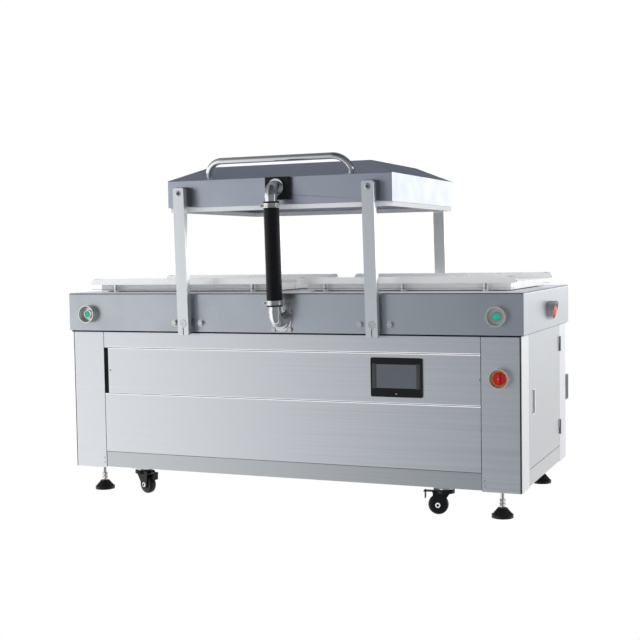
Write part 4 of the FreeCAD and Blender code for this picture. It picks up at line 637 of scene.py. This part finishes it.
# ------------------------------------------------------------------ rear
hood_low, hood_high = corners(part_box("power_connector"))
REAR_SCREW_HEIGHT = 0.480
lathe("rear_screw", [(0, 0), (5, 0), (5, 3), (4, 5), (0, 5.4)],
      (hood_high.x - 8 * MM, post_high.y, REAR_SCREW_HEIGHT), Y_AXIS, "zinc", "base", 20)
slab("connector_lever", (hood_low.x + 8 * MM, hood_low.y + 40 * MM, hood_high.z - 26 * MM),
     (hood_low.x + 14 * MM, hood_low.y + 62 * MM, hood_high.z - 10 * MM), "white_cap", "base", 1.0)
rear_low, rear_high = corners(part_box("rear_panel"))
REAR_SCREW_PLACES = (-0.74, -0.37, 0.0, 0.37, 0.74)
for i, x in enumerate(REAR_SCREW_PLACES):
    for row, z in enumerate((rear_low.z + 18 * MM, rear_high.z - 30 * MM)):
        lathe(f"rear_panel_screw_{i}_{row}", [(0, 0), (4.5, 0), (4.5, 1.4), (3.4, 2.4), (0, 2.6)],
              (x, rear_high.y, z), Y_AXIS, "zinc", "base", 20)


# ------------------------------------------------------------------ floor, lights and surroundings
def studio():
    """A white floor that melts into a white backdrop, and soft gradients for the steel."""
    mesh = bpy.data.meshes.new("floor")
    shape = bmesh.new()
    bmesh.ops.create_grid(shape, x_segments=1, y_segments=1, size=60)
    shape.to_mesh(mesh)
    shape.free()
    floor = bpy.data.objects.new("floor", mesh)
    bpy.context.scene.collection.objects.link(floor)
    floor.location.z = -0.5 * MM
    paper = new_material("white_floor", (0, 0, 0), 0.0, 1.0, specular_ior_level=0.0,
                         emission_color=(1, 1, 1, 1), emission_strength=1.0)[0]
    mesh.materials.append(paper)
    floor.visible_glossy = False

    world = bpy.data.worlds.new("studio")
    bpy.context.scene.world = world
    world.use_nodes = True
    tree = world.node_tree
    tree.nodes.clear()
    output = tree.nodes.new("ShaderNodeOutputWorld")
    soft = tree.nodes.new("ShaderNodeBackground")
    mirrored = tree.nodes.new("ShaderNodeBackground")
    soft.inputs["Color"].default_value = (1, 1, 1, 1)
    soft.inputs["Strength"].default_value = 1.02
    path = tree.nodes.new("ShaderNodeLightPath")
    choose = tree.nodes.new("ShaderNodeMixShader")
    tree.links.new(path.outputs["Is Glossy Ray"], choose.inputs["Fac"])
    tree.links.new(soft.outputs["Background"], choose.inputs[1])
    tree.links.new(mirrored.outputs["Background"], choose.inputs[2])
    tree.links.new(choose.outputs["Shader"], output.inputs["Surface"])

    coordinates = tree.nodes.new("ShaderNodeTexCoord")
    split = tree.nodes.new("ShaderNodeSeparateXYZ")
    tree.links.new(coordinates.outputs["Generated"], split.inputs["Vector"])

    def ramp(source, stops):
        """A colour ramp over -1 to 1 of one direction."""
        shift = tree.nodes.new("ShaderNodeMapRange")
        shift.inputs["From Min"].default_value = -1
        tree.links.new(source, shift.inputs["Value"])
        node = tree.nodes.new("ShaderNodeValToRGB")
        elements = node.color_ramp.elements
        for index, (place, value) in enumerate(stops):
            element = elements[index] if index < 2 else elements.new((place + 1) / 2)
            element.position = (place + 1) / 2
            element.color = (*value, 1) if isinstance(value, tuple) else (value, value, value, 1)
        tree.links.new(shift.outputs["Result"], node.inputs["Fac"])
        return node.outputs["Color"]

    def mix(kind, factor, first, second):
        """Mix two colours."""
        node = tree.nodes.new("ShaderNodeMix")
        node.data_type = "RGBA"
        node.blend_type = kind
        if isinstance(factor, float):
            node.inputs["Factor"].default_value = factor
        else:
            tree.links.new(factor, node.inputs["Factor"])
        tree.links.new(first, node.inputs["A"])
        tree.links.new(second, node.inputs["B"])
        return node.outputs["Result"]

    ahead = ramp(split.outputs["X"], [(-1, 1.0), (1, 0.22), (-0.58, 1.0), (-0.50, (0.84, 0.85, 0.87)),
                                      (-0.40, (0.52, 0.54, 0.57)), (-0.32, (0.24, 0.26, 0.29)),
                                      (-0.20, (0.16, 0.18, 0.20))])
    low = ramp(split.outputs["Z"], [(-1, 1.0), (1, 0.2), (-0.12, 1.05), (0.10, 0.90), (0.30, 0.4)])
    behind = ramp(split.outputs["X"], [(-1, 1.2), (1, 1.0), (-0.35, 1.2), (0.1, 1.0)])
    high = ramp(split.outputs["Z"], [(-1, 0.8), (1, 0.2), (-0.12, 0.74), (-0.04, 0.84),
                                     (0.04, 1.9), (0.13, 1.9), (0.17, (0.06, 0.08, 0.12)),
                                     (0.35, (0.05, 0.06, 0.09)), (0.70, (0.14, 0.15, 0.17))])
    side = ramp(split.outputs["Y"], [(-1, 0.0), (1, 1.0), (-0.1, 0.0), (0.1, 1.0)])
    front_half = mix("MULTIPLY", 1.0, ahead, low)
    rear_half = mix("MULTIPLY", 1.0, behind, high)
    tree.links.new(mix("MIX", side, front_half, rear_half), mirrored.inputs["Color"])
    mirrored.inputs["Strength"].default_value = 1.1

    look_at = Vector((0, 0, 0.7))
    for name, place, size, power in (("key", (-2.2, -2.6, 3.4), 2.4, 24),
                                     ("fill", (3.2, -0.4, 2.6), 2.0, 24)):
        light = bpy.data.lights.new(name, "AREA")
        light.energy = power
        light.size = size
        lamp = bpy.data.objects.new(name, light)
        bpy.context.scene.collection.objects.link(lamp)
        lamp.location = place
        aim = look_at - Vector(place)
        lamp.rotation_euler = aim.to_track_quat("-Z", "Y").to_euler()
        lamp.visible_glossy = False


studio()
